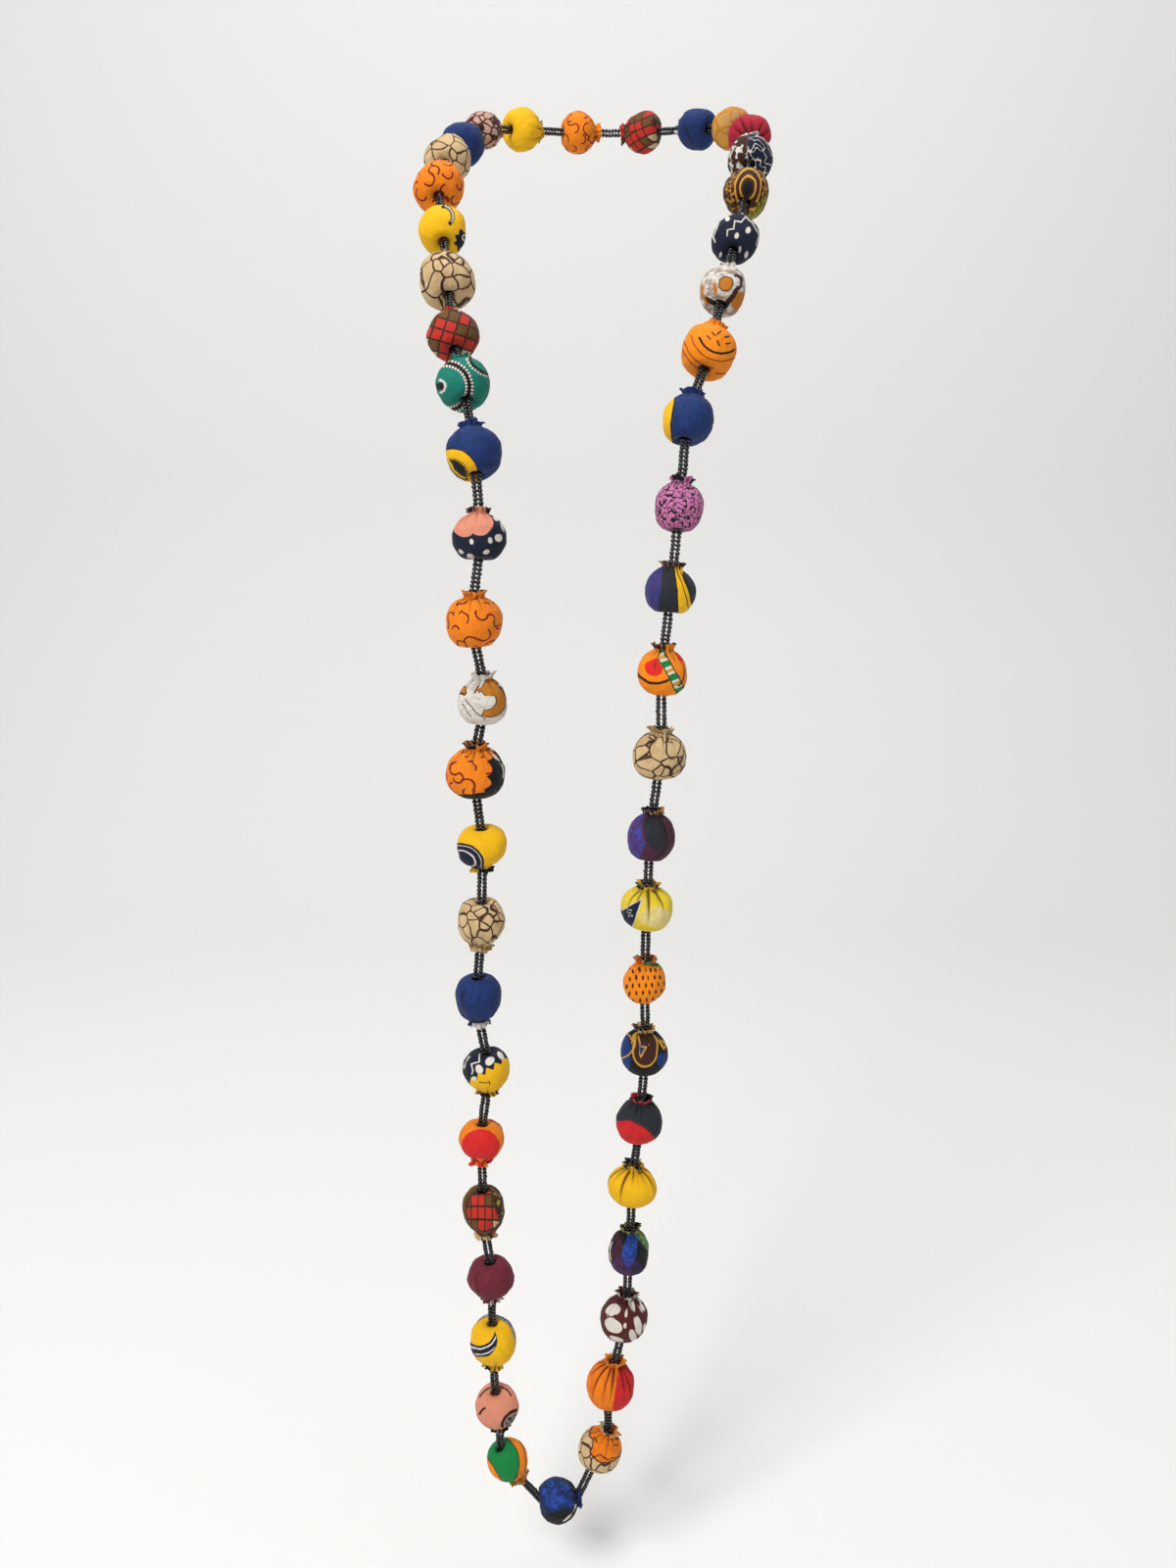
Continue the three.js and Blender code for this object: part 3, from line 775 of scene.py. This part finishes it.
@drawing("blue", "blue")
def blue_crescent(c):
    c.streaks("navy", (0.3, 0.12, 0.3), 0.52, 3.0, 0.2, 0.5)
    shape = c.disc(-0.78, -0.76, 0.9)
    c.ink("navy", shape + 0.045)
    c.ink("yellow", shape)
    teeth = c.angle(-0.8, -0.78).math("PINGPONG", 0.09) * 1.5
    c.ink("black", c.disc(-0.8, -0.78, 0.5) + teeth)
    c.ink("yellow", c.ring(0, 0, 0.97, 0.035, 195, 250))


@drawing("blue", "blue")
def blue_crescent_left(c):
    c.streaks("navy", (0.12, 0.5, 0.12), 0.52, 3.0, 0.2, 0.5)
    out = -c.oval(0.5, -0.1, 1.12, 2.5)
    c.ink("yellow", out)
    c.ink("black", 0.03 - abs(out))


@drawing("navy", "peach", "navy", "navy")
def peach_dots(c):
    petals = c.ovals((-0.55, 0.42, 0.4, 0.42), (0.05, 0.52, 0.44, 0.46), (-0.2, 0.8, 0.6, 0.35))
    c.ink("peach", petals & c.side(0.5, 0.4, 180))
    c.ink("white", c.ovals(
        (-0.3, -0.2, 0.08, 0.12), (0.44, -0.14, 0.09, 0.13), (0.74, -0.04, 0.12, 0.16),
        (0.27, -0.62, 0.14, 0.09, 20), (-0.35, -0.78, 0.13, 0.08, -20), (-0.7, -0.6, 0.12, 0.05, -40),
        (0.84, 0.4, 0.04, 0.2, 20), (0.62, 0.7, 0.06, 0.12, 40),
    ))


@drawing("white", "white")
def white_ochre(c):
    c.streaks("grey", (0.5, 0.12, 0.3), 0.56, 4.0, 0.15, 0.5)
    hook = c.disc(0.3, 0.0, 0.66) & -c.oval(0.1, 0.02, 0.5, 0.42, -10)
    hook = hook & (c.side(0.2, -0.2, 330) | c.side(0.2, 0.2, 80))
    shape = hook | c.oval(0.28, 0.55, 0.3, 0.34, -20)
    c.ink("brown", shape + 0.035)
    c.ink("ochre", shape)
    c.ink("white", c.oval(0.2, 0.02, 0.32, 0.2, 10))
    c.ink("brown", c.disc(-0.78, 0.45, 0.2))
    c.ink("ochre", c.disc(-0.76, 0.46, 0.13))
    c.ink("brown", c.stroke([(-0.7, 0.1), (-0.3, -0.45), (0.1, -0.75)], 0.02))
    c.ink("brown", c.stroke([(-0.85, -0.1), (-0.45, -0.6)], 0.018))


@drawing("white", "white", "brown")
def white_ochre_disc(c):
    c.streaks("earth", (0.4, 0.2, 0.3), 0.5, 4.0, 0.15, 0.75)
    c.ink("ochre", c.oval(0.7, -0.42, 0.34, 0.4) | c.ring(-0.2, 0.05, 0.72, 0.06, 165, 235))
    c.ink("brown", c.oval(0.35, -0.28, 0.14, 0.62, -38) & -c.oval(0.2, -0.1, 0.15, 0.5, -38))
    c.ink("brown", c.disc(0.12, 0.28, 0.31))
    c.ink("ochre", c.disc(0.12, 0.28, 0.265))
    c.ink("brown", c.oval(-0.5, -0.42, 0.34, 0.1, -28) | c.ring(0.5, 0.3, 0.3, 0.05, -60, 100))
    c.ink("ochre", c.oval(-0.33, 0.1, 0.09, 0.26, 12))
    c.ink("black", c.oval(0.1, -0.6, 0.12, 0.22, -50))


@drawing("orange", "orange", "black")
def orange_black(c):
    orange_curls(c)
    edge, along, _ = c.at(0.42, 0.0, -12).parts()
    scallops = abs(((along + 0.1) * (math.pi / 0.5)).math("SINE")) * -0.2
    c.ink("black", (edge + 0.08 + scallops) | (c.side(0.0, -0.72, -80) + 0.02))
    c.ink("white", c.ring(0.0, 0.0, 0.93, 0.022, -12, 22) | c.stroke([(0.55, 0.75), (0.75, 0.5)], 0.022))


@drawing("yellow", "yellow", "navy")
def yellow_band(c):
    c.ink("navy", c.disc(-0.85, -0.75, 0.92))
    c.ink("white", c.ring(-0.85, -0.75, 0.8, 0.014) | c.ring(-0.85, -0.75, 0.58, 0.028))
    c.ink("white", c.ovals((-0.55, -0.9, 0.07, 0.14, -30), (-0.95, -0.35, 0.05, 0.12)))


@drawing("navy", "yellow", "navy")
def navy_zigzag(c):
    below, along, _ = c.at(0.0, -0.12, -59).parts()
    c.ink("yellow", below - 0.06 + (along + 0.1).math("PINGPONG", 0.2) * 1.2)
    c.ink("white", c.ovals(
        (-0.3, 0.03, 0.15, 0.2, 20), (0.14, 0.37, 0.2, 0.16, 50), (0.58, 0.58, 0.2, 0.11, -52),
        (-0.54, -0.38, 0.12, 0.09, 20),
    ))
    line = [(-0.62, -0.18), (-0.56, -0.04), (-0.64, 0.26), (-0.29, 0.36), (-0.29, 0.7), (0.19, 0.72)]
    c.ink("white", c.stroke([*line, (0.16, 0.84)], 0.028))
    c.ink("white", c.ring(0, 0, 0.95, 0.035, 140, 175) & c.patch(0.1, 0.5))
    c.ink("navy", c.stroke([(-0.3, -0.55), (-0.05, -0.62), (0.1, -0.55), (0.14, -0.68)], 0.025))


@drawing("orange", "orange", "red")
def orange_disc(c):
    c.ink("crimson", c.ring(0.1, 0.0, 0.98, 0.05, -10, 70))
    c.ink("red", c.oval(-0.09, -0.25, 0.83, 0.75))
    c.streaks("crimson", (0.08, 0.6, 0.08), 0.55, 2.0, 0.25, 0.4)


@drawing("brick", "earth", "cream")
def red_squares_tall(c):
    red_squares(c, 0.34, -3, 1.5)
    c.ink("earth", -c.disc(0.02, -0.1, 0.84))
    c.ink("brown", c.ring(0.02, -0.1, 0.84, 0.03) | c.ring(0.02, -0.1, 0.93, 0.015))
    c.ink("lime", c.side(0.5, 0.2, 15) & c.patch(0.3, 0.46, 4.0))
    c.ink("brown", c.side(0.46, 0.2, 15) & (0.05 - c.cells(0.3)))


@drawing("yellow", "yellow", "navy")
def yellow_stripes(c):
    shape = c.disc(-0.45, 0.0, 0.64) & -c.disc(-0.55, 0.45, 0.64)
    c.ink("navy", shape)
    c.ink("white", (c.ring(-0.55, 0.45, 0.76, 0.028) | c.ring(-0.55, 0.45, 0.98, 0.025)) & (shape - 0.04))
    border = c.side(0, 0.1, 45)
    c.ink("navy", -c.disc(-0.1, -0.14, 1.04) & border)
    c.ink("white", c.ring(-0.1, -0.14, 1.1, 0.03) & border & c.patch(0.08, 0.5))


@drawing("peach", "grey", "black")
def peach_arcs(c):
    c.ink("black", c.ring(-0.1, 0.0, 0.86, 0.035, 28, 150) | c.ring(-0.45, -0.42, 0.38, 0.05, 100, 165))
    c.ink("black", c.ring(0.95, -0.98, 0.78, 0.07, 95, 175))
    corner = c.disc(0.95, -0.98, 0.66)
    c.ink("grey", corner)
    c.ink("black", corner & c.patch(0.16, 0.5))


@drawing("ochre", "ochre", "cream")
def green_oval(c):
    edge = c.side(-0.64, -0.45, 33)
    c.ink("orange", edge + 0.26)
    c.ink("brown", 0.022 - abs(edge + 0.26))
    right = c.oval(-0.55, -0.15, 1.15, 1.3)
    c.ink("green", right & edge)
    c.ink("brown", 0.02 - abs(right & edge))
    c.ink("brown", 0.018 - abs(right + 0.3))


@drawing("navy", "navy", "blue")
def blue_blotch(c):
    c.ink("blue", c.disc(-0.1, 0.12, 0.85) & c.patch(0.35, 0.46, 2.0), 0.1)
    # the bright blue patches are painted highlights: glints of light on the navy cloth
    c.ink("bright_blue", c.disc(-0.15, 0.2, 0.62) & c.patch(0.3, 0.56, 6.0), 0.03, 0.8)
    c.ink("bright_blue", c.disc(0.2, 0.1, 0.6) & (0.02 - abs(c.noise(0.5, 1.0, 3.0) - 0.5)), 0.02, 0.8)
    c.ink("black", c.side(0.15, -0.42, -74), 0.1)
    c.ink("white", c.ring(-0.12, -0.12, 0.88, 0.04, -62, 0))


@drawing("cream", "cream", "orange", "brown")
def tan_orange(c):
    c.ink("brown", 0.03 - c.cells(0.62))
    centre = c.oval(0.25, 0.3, 0.8, 0.85) & -c.disc(-0.72, 0.2, 0.42)
    c.ink("orange", centre)
    c.ink("deep_orange", centre & c.patch(0.3, 0.5), 0.05, 0.7)
    c.ink("brown", 0.03 - abs(centre))
    c.ink("brown", c.stroke([(-0.4, -0.4), (-0.02, -0.16), (0.3, -0.42), (0.72, -0.3)], 0.028))
    for line in ([(-0.3, 0.5), (-0.12, 0.2)], [(0.3, 0.5), (0.42, 0.3), (0.7, 0.35)]):
        c.ink("brown", c.stroke(line, 0.03))


@drawing("orange", "orange")
def orange_red(c):
    c.streaks("deep_orange", (0.14, 0.8, 0.3), 0.5, 6.0, 0.2, 0.8)
    right = c.side(0.22, 0.0, -6)
    c.ink("red", right)
    c.ink("crimson", right & c.patch(0.3, 0.5), 0.1, 0.7)
    # dark red along the creases: painted shade
    c.paint_crease_shade("dark_red", 0.3, 0.2, 0.8)


@drawing("wine", "white", "wine")
def brown_petals(c):
    c.ink("white", c.ovals(
        (-0.5, 0.27, 0.34, 0.22, 30), (-0.45, -0.32, 0.4, 0.27, -25), (0.1, 0.23, 0.1, 0.2, -10),
        (0.05, -0.3, 0.07, 0.12), (0.62, -0.3, 0.15, 0.42, 10), (0.4, -0.74, 0.15, 0.28, 20),
        (0.35, 0.6, 0.07, 0.26, 15), (0.68, 0.55, 0.07, 0.3, 25), (0.9, -0.42, 0.07, 0.2),
        (-0.3, -0.86, 0.3, 0.1, -20),
    ))
    c.ink("wine", 0.02 - abs(c.side(-0.5, 0.0, 70)) & c.side(-0.1, 0, 180))


@drawing("black", "black", "lime")
def blue_streaks(c):
    c.ink("plum", c.side(-0.15, -0.2, 200) & c.patch(0.3, 0.42), 0.1)
    middle = c.oval(0.05, 0.05, 0.34, 0.72, -6)
    c.ink("blue", middle & (c.patch(0.3, 0.4, 3.0) + 0.04), 0.06)
    c.ink("bright_blue", middle & c.patch(0.16, 0.52, 3.0), 0.03)
    c.ink("purple", c.oval(0.0, -0.75, 0.7, 0.4, -15) & c.patch(0.2, 0.5, 8.0), 0.1, 0.6)
    corner = c.side(0.45, 0.45, 50)
    c.ink("teal", corner & c.patch(0.25, 0.42, 2.0), 0.05)
    c.ink("lime", corner & c.patch(0.18, 0.52, 6.0), 0.03)
    c.ink("white", c.ring(0.0, 0.0, 0.93, 0.035, 155, 205))


@drawing("slate", "black", "crimson")
def black_red(c):
    low = c.disc(-0.75, -1.75, 1.72)
    c.ink("red", low)
    c.ink("crimson", low & c.patch(0.5, 0.5), 0.15, 0.7)
    c.ink("black", c.ring(-0.15, 0.05, 0.98, 0.03, -40, 60))


@drawing("black", "gold", "brown", "cream")
def gold_ovals(c):
    c.ink("blue", c.side(-0.62, 0, 180) | c.oval(0.75, -0.35, 0.22, 0.3))
    egg = c.oval(0.0, 0.1, 0.55, 0.75)
    c.ink("brown", egg)
    c.ink("gold", 0.028 - abs(egg))
    c.ink("blue", c.oval(-0.12, 0.2, 0.16, 0.32))
    c.ink("gold", c.stroke([(-0.38, 0.62), (-0.15, -0.25), (0.15, 0.25), (-0.28, 0.28)], 0.03))
    c.ink("gold", c.ring(-1.1, 0.3, 0.62, 0.03))
    c.ink("gold", c.stroke([(0.62, 0.55), (0.95, 0.3), (0.8, 0.12), (0.6, 0.4)], 0.04))


@drawing("orange", "deep_orange", "green")
def orange_dashes(c):
    u, v, _ = c.at(0, 0, 6, 0.3, 0.34).parts()
    u = (u + v.math("FLOOR") * 0.5).math("FRACT") - 0.5
    v = v.math("FRACT") - 0.5
    c.ink("brown", 1 - (u * u * 38.0 + v * v * 9.0).math("SQRT"), 0.2)
    c.ink("green", c.side(0.55, 0.72, 60) & c.patch(0.3, 0.42))


@drawing("lemon", "yellow", "black")
def yellow_dots(c):
    # the cream streaks and the pale white patch are painted highlights on the yellow cloth
    c.streaks("cream", (0.16, 0.6, 0.16), 0.6, 5.0, 0.1, 0.45)
    c.ink("white", c.oval(0.35, -0.35, 0.55, 0.42) & c.patch(0.3, 0.4, 1.0), 0.12, 0.55)
    # earth brown along the creases: painted shade
    c.paint_crease_shade("earth", 0.35, 0.25, 0.8)
    band = c.side(-0.3, -0.15, 161) & c.side(-0.6, 0.21, -56)
    c.ink("navy", band)
    c.ink("white", 0.022 - abs(band - 0.03))
    places = ((-0.7, -0.02), (-0.58, -0.04), (-0.76, -0.16), (-0.62, -0.18), (-0.7, -0.32), (-0.56, -0.3))
    c.ink("white", either(c.disc(x, y, 0.034) for x, y in places))


@drawing("purple", "gold", "black")
def plum_petal(c):
    c.streaks("bright_blue", (0.14, 0.14, 0.14), 0.52, 2.0, 0.12, 0.75)
    c.ink("plum", c.patch(0.16, 0.56, 9.0), 0.03, 0.8)
    c.ink("plum", c.side(-0.1, -0.1, -25))
    petal = c.oval(0.22, 0.1, 0.42, 0.72, 14)
    c.ink("plum", petal + 0.08)
    c.ink("slate", petal)
    c.ink("black", c.ring(-0.2, -0.05, 0.95, 0.035, -60, 50))


@drawing("orange", "orange", "brown")
def orange_squares(c):
    c.ink("red", c.disc(-0.34, 0.22, 0.38))
    c.ink("dark_red", c.oval(-0.34, 0.3, 0.08, 0.16) & c.patch(0.1, 0.45), 0.03)
    c.ink("brown", c.ring(-0.25, 0.45, 0.9, 0.055, 205, 320))
    strip = 0.18 - abs(c.side(0.33, 0.1, 24))
    c.ink("gold", strip + 0.04)
    along = c.side(0.33, 0.1, -66).math("PINGPONG", 0.3)
    c.ink("green", strip & (along - 0.17))
    c.ink("white", strip & (0.05 - abs(along - 0.12)))
    c.ink("brown", 0.026 - abs(strip))
    c.ink("brown", c.ring(0.15, 0.0, 0.72, 0.03, -50, 60))
    c.ink("red", c.oval(0.68, 0.62, 0.16, 0.24, 30))


@drawing("slate", "slate", "gold", "plum")
def slate_yellow(c):
    left = c.side(-0.38, 0.1, 172)
    c.ink("blue", left)
    c.ink("purple", left & c.patch(0.2, 0.48), 0.05, 0.8)
    band = 0.2 - abs(c.side(0.5, 0.0, 10)) - c.side(0.5, 0.3, 90) * 0.12
    c.ink("yellow", band)
    c.ink("black", 0.03 - abs(band) | (0.02 - abs(c.side(0.55, 0, 14)) & band))


@drawing("pink", "pink", "black")
def pink_squiggles(c):
    c.ink("black", 0.055 - abs(c.noise(0.2, 0.0) - 0.5), 0.02)
    c.ink("black", c.noise(0.14, 0.0, 4.0) - 0.66, 0.02)


@drawing("orange", "orange")
def orange_arcs(c):
    c.ink("black", c.ring(0.45, 0.75, 0.83, 0.04, 198, 306))
    arcs = (
        (0.45, 0.75, 1.1, 0.02, 190, 300), (0.42, 0.75, 1.38, 0.018, 190, 260),
        (0.5, 0.75, 1.62, 0.02, 200, 235), (0.5, 0.75, 1.55, 0.018, 262, 290),
    )
    c.ink("dark_red", either(c.ring(*arc) for arc in arcs))
    marks = (
        ((-0.05, 0.52), (0.05, 0.42)), ((0.12, 0.66), (0.22, 0.55)), ((0.3, 0.34), (0.38, 0.2)),
        ((0.62, 0.27), (0.76, 0.3)), ((0.58, 0.5), (0.72, 0.52)), ((0.3, 0.6), (0.42, 0.7)),
    )
    c.ink("brown", either(c.stroke(mark, 0.028) for mark in marks))


@drawing("navy", "navy", "white")
def navy_steps(c):
    steps = [
        (-0.36, 0.14), (-0.36, 0.38), (-0.08, 0.41), (-0.05, 0.72), (0.23, 0.69), (0.37, 0.86), (0.64, 0.66),
        (0.85, 0.28), (0.95, 0.14), (0.85, -0.24),
    ]
    c.ink("white", c.stroke(steps, 0.024) | c.stroke([(-0.74, 0.65), (-0.95, 0.12), (-0.88, -0.1)], 0.024))
    dots = (
        (0.5, 0.34, 0.1, 0.13), (0.05, 0.14, 0.09, 0.13), (-0.36, 0.81, 0.1, 0.09), (0.19, -0.41, 0.06, 0.13),
        (0.47, -0.62, 0.07, 0.14), (-0.25, -0.5, 0.08, 0.04), (-0.6, -0.6, 0.05, 0.1),
    )
    c.ink("white", either(c.oval(*dot, -10) for dot in dots))


@drawing("brown", "gold", "black")
def brown_gold(c):
    away = c.at(0.05, 0.2, 0, 1.0, 1.35).length()
    rings = away.math("PINGPONG", 0.11) - 0.075
    c.ink("gold", rings & (0.75 - away) & (c.side(0, 0.0, 90) + 0.35))
    c.ink("gold", c.patch(0.16, 0.58, 2.0) & (away - 0.6))
    c.ink("black", 0.2 - away)
    c.ink("lime", c.side(0.3, -0.6, -50) & c.patch(0.14, 0.5, 6.0))
    c.ink("white", c.stroke([(-0.35, -0.3), (-0.1, -0.42), (0.0, -0.3)], 0.03))


@drawing("navy", "white", "navy")
def navy_brown(c):
    c.ink("white", 0.03 - abs(c.noise(0.3, 0.0, 2.0) - 0.52) * 1.2, 0.02)
    left = c.side(-0.1, 0, 180)
    c.ink("brown", left)
    c.ink("white", left & c.patch(0.35, 0.56, 5.0))


DRAWINGS.update(
    rose_lines=("rose", lambda c: tan_cells(c, "brown", 0.5, 0.05), ("rose", "tan")),
    gold_tan=("gold", lambda c: tan_cells(c, "ochre", 0.8, 0.05), ("gold", "tan")),
    blue_plain=("blue", lambda c: streaked_with_fold_shade(c, "navy"), ("blue", "white")),
    burgundy_plain=("burgundy", lambda c: streaked_with_fold_shade(c, "wine"), ("burgundy", "white")),
    # yellow_plain and crimson_plain carry no print: their dark lines along the creases are painted shade
    yellow_plain=("yellow", lambda c: c.paint_crease_shade("earth", 0.35, 0.25, 0.7), ("yellow", "navy")),
    crimson_plain=("crimson", lambda c: c.paint_crease_shade("wine", 0.35, 0.25, 0.7), ("white", "crimson")),
)
# other prints of the same name, by place on the string
OTHER_DRAWINGS = {20: "red_squares_tall", 40: "blue_crescent_left", 42: "white_ochre_disc"}


@functools.cache
def cloth_material(name):
    ground, draw, frills = DRAWINGS[name]
    cloth = Cloth(name, ground)
    draw(cloth)
    cloth.frill(*frills)
    return cloth.finish()


slots = {m["slot"] for m in frame["record"]["materials"]}


def slot_of(bead):
    first = bead["cloth"].split("_")[0]
    slot = "cloth_" + {"slate": "black"}.get(first, first)
    return slot if slot in slots else "cloth_tan"


for bead in beads:
    place, cloth = bead["place"], bead["cloth"]
    if FIRST_FRONT <= place <= LAST_FRONT:
        node_name = f"bead_{place - FIRST_FRONT + 1:02d}_{cloth}"
        name = "cloth_" + node_name
    else:
        node_name = "nape_string"
        name = f"cloth_nape_{place:02d}_{cloth}"
    material = cloth_material(OTHER_DRAWINGS.get(place, cloth))
    bead_mesh(bead, name, material, slot_of(bead), node_name)

# The seed beads
SEED_SIDES = 14
# Half of a seed's outline: share of its radius, and share of its half length
SEED_HALF = [(0.97, 0.22), (0.87, 0.68), (0.64, 0.92), (0.4, 0.62)]
SEED_OUTLINE = [(r, -h) for r, h in reversed(SEED_HALF)] + SEED_HALF
SEEDS_ASIDE = 1.15  # how far each string lies from the middle, so that the two touch
SEEDS_INSIDE = 2.6  # how far the seeds reach into a bead
THREAD = 0.33
THREAD_SIDES = 6
THREAD_INSIDE = 3.2  # how far the thread runs on past the last seed
SAG = 0.35
SAG_ASIDE = 0.7  # share of it that goes aside
UNEVEN_ASIDE, UNEVEN_FRONT, UNEVEN_TURN = 0.06, 0.1, 0.07
SEED_WIDTHS, SEED_LENGTHS = (0.94, 1.04), (0.93, 1.0)  # ranges, as shares of the usual sizes


def seed_mesh():
    angles = np.linspace(0, FULL_TURN, SEED_SIDES, endpoint=False)
    radius, height = (np.array(SEED_OUTLINE) * (SEED_DIAMETER / 2, SEED_LENGTH / 2)).T[:, :, None]
    rows = np.stack([radius * np.cos(angles), radius * np.sin(angles), height + 0 * angles], -1)
    return rows.reshape(-1, 3), grid_faces(len(SEED_OUTLINE), SEED_SIDES, True)


def ends(bead):
    """Where the seeds start and stop beside a bead, along its axis: they reach into both ends of its hole."""
    reach = [bead["length"] / 2 - SEEDS_INSIDE] * 2
    reach[0 if bead["gather"] < 0 else 1] += RUFFLE_HEIGHT
    return bead["centre"] - bead["axis"] * reach[0], bead["centre"] + bead["axis"] * reach[1]


def strand(spans, offset, seed):
    """Points and faces of the seeds and their thread between pairs of beads."""
    rng = np.random.default_rng(seed)
    shape, shape_faces = seed_mesh()
    ring = np.linspace(0, FULL_TURN, THREAD_SIDES, endpoint=False)
    meshes = []
    for first, second in spans:
        start, stop = ends(first)[1], ends(second)[0]
        run = stop - start
        length = np.linalg.norm(run)
        way = run / length
        side = unit(np.cross(way, outward_at((start + stop) / 2)))
        front = np.cross(side, way)
        seeds = max(1, int(round(length / SEED_LENGTH)))
        step = length / seeds / SEED_LENGTH
        sag = rng.uniform(-SAG, SAG, 2)
        path = []
        for i in range(seeds):
            share = (i + 0.5) / seeds
            bow = math.sin(math.pi * share)
            middle = start + run * share + side * (offset + bow * sag[0] * SAG_ASIDE) + front * bow * sag[1]
            path.append(middle + side * rng.normal(0, UNEVEN_ASIDE) + front * rng.normal(0, UNEVEN_FRONT))
        for i, middle in enumerate(path):
            near = unit(path[min(i + 1, seeds - 1)] - path[max(i - 1, 0)]) if seeds > 1 else way
            near = unit(near + rng.normal(0, UNEVEN_TURN, 3))
            e1 = unit(np.cross(near, front))
            size = rng.uniform(*SEED_WIDTHS)
            long = step * rng.uniform(*SEED_LENGTHS)
            axes = np.array([size * e1, size * np.cross(near, e1), long * near])
            meshes.append((shape @ axes + middle, shape_faces))
        course = [path[0] - way * THREAD_INSIDE, *path, path[-1] + way * THREAD_INSIDE]
        tube = [p + THREAD * (np.cos(ring)[:, None] * side + np.sin(ring)[:, None] * front) for p in course]
        meshes.append((np.concatenate(tube), grid_faces(len(course), THREAD_SIDES, False)))
    starts = np.cumsum([0] + [len(points) for points, _ in meshes])
    faces = [mesh_faces + first for (_, mesh_faces), first in zip(meshes, starts)]
    return np.concatenate([points for points, _ in meshes]), np.concatenate(faces)


def seed_material():
    material, tree = new_material("black_seed_glass")
    place = node(tree, "ShaderNodeTexCoord", output="Object")
    cloud = clouds(place, 420.0, 2.0)
    fine = clouds(place, 2400.0, 3.0)
    colour = node(tree, "ShaderNodeValToRGB", [cloud])
    ramp = colour.socket.node.color_ramp
    ramp.elements[0].position, ramp.elements[0].color = 0.3, (0.0025, 0.0025, 0.003, 1)
    ramp.elements[1].position, ramp.elements[1].color = 0.75, (0.011, 0.010, 0.011, 1)
    bump = node(tree, "ShaderNodeBump", {"Strength": 0.12, "Distance": 0.00006, "Height": cloud + fine * 0.3})
    shade_with(tree, {
        "Base Color": colour,
        "Roughness": 0.06 + 0.16 * fine,
        "Coat Weight": 0.5,
        "Coat Roughness": 0.05,
        "Normal": bump,
    })
    return material


glass = seed_material()
nape_places = [*range(LAST_FRONT + 1, len(beads)), *range(FIRST_FRONT)]
strings = (
    ("front", range(FIRST_FRONT - 1, LAST_FRONT + 2), "seed_strand_{}", 0),
    ("nape", nape_places, "nape_string", 40),
)
for letter, offset, seed in (("a", SEEDS_ASIDE, 11), ("b", -SEEDS_ASIDE, 12)):
    for part, places, node_name, more in strings:
        spans = [(beads[a], beads[b]) for a, b in zip(places, places[1:])]
        points, faces = strand(spans, offset, seed + more)
        new_piece(f"seeds_{part}_{letter}", points, faces, glass, node_name.format(letter))

# Stage, light and camera, in metres
CAMERA_SENSOR, CAMERA_CLIP = 36, (0.01, 20)
WORLD_COLOUR, WORLD_POWER = (0.95, 0.97, 1.0, 1), 0.28
STAGE_FLOOR, STAGE_FRONT, STAGE_BACK, STAGE_TOP = -0.735, -3.0, 1.1, 3.0
STAGE_BEND, STAGE_BEND_STEPS, STAGE_HALF = 0.5, 12, 4.0
STAGE_COLOUR = (0.80, 0.79, 0.77)
LIGHT_TARGETS = {"key": (0, -0.25, -0.35), "fill": (0, -0.25, -0.4), "top": (0, -0.2, -0.4)}
# name, place, size, power, colour
LIGHTS = [
    ("key", (-0.8, -1.35, 1.1), 0.8, 36, (1, 1, 1)),
    ("fill", (1.5, -1.2, 0.1), 1.4, 6, (0.94, 0.97, 1.0)),
    ("top", (0.1, 0.1, 1.3), 1.6, 14, (1, 1, 1)),
]


def stage_material():
    material, tree = new_material("pale_stage")
    cloud = node(tree, "ShaderNodeTexNoise", {"Scale": 3.0, "Detail": 4.0})
    colour = node(tree, "ShaderNodeValToRGB", [cloud])
    for element, value in zip(colour.socket.node.color_ramp.elements, (0.97, 1.0)):
        element.color = tuple(part * value for part in STAGE_COLOUR) + (1,)
    shade_with(tree, {"Base Color": colour, "Roughness": 0.9})
    return material


def sweep():
    """A pale floor that curves up into a backdrop."""
    line = [(STAGE_FRONT, STAGE_FLOOR), (STAGE_BACK - STAGE_BEND, STAGE_FLOOR)]
    for i in range(1, STAGE_BEND_STEPS + 1):
        turn = math.pi / 2 * i / STAGE_BEND_STEPS
        y = STAGE_BACK - STAGE_BEND + STAGE_BEND * math.sin(turn)
        line.append((y, STAGE_FLOOR + STAGE_BEND - STAGE_BEND * math.cos(turn)))
    line.append((STAGE_BACK, STAGE_TOP))
    points = [(x, y, z) for y, z in line for x in (-STAGE_HALF, STAGE_HALF)]
    faces = [(2 * i, 2 * i + 1, 2 * i + 3, 2 * i + 2) for i in range(len(line) - 1)]
    made = new_object("stage_sweep", points, faces, stage_material())


def area_light(name, place, size, power, colour):
    light = bpy.data.lights.new("light_" + name, "AREA")
    light.shape = "RECTANGLE"
    light.size = light.size_y = size
    light.energy = power
    light.color = colour
    made = bpy.data.objects.new("light_" + name, light)
    made.location = place
    made.rotation_euler = (Vector(LIGHT_TARGETS[name]) - Vector(place)).to_track_quat("-Z", "Y").to_euler()
    bpy.context.scene.collection.objects.link(made)


sweep()
for row in LIGHTS:
    area_light(*row)
world = bpy.data.worlds.new("studio")
bpy.context.scene.world = world
world.use_nodes = True
background = world.node_tree.nodes["Background"]
background.inputs["Color"].default_value = WORLD_COLOUR
background.inputs["Strength"].default_value = WORLD_POWER
bpy.context.scene.view_settings.view_transform = "Standard"

camera = bpy.data.cameras.new("camera")
camera.lens = CAMERA_LENS
camera.sensor_width = CAMERA_SENSOR
camera.clip_start, camera.clip_end = CAMERA_CLIP
camera_object = bpy.data.objects.new("camera", camera)
camera_object.location = CAMERA_PLACE * MM
camera_object.rotation_euler = (math.radians(CAMERA_PITCH), 0, 0)
bpy.context.scene.collection.objects.link(camera_object)
bpy.context.scene.camera = camera_object
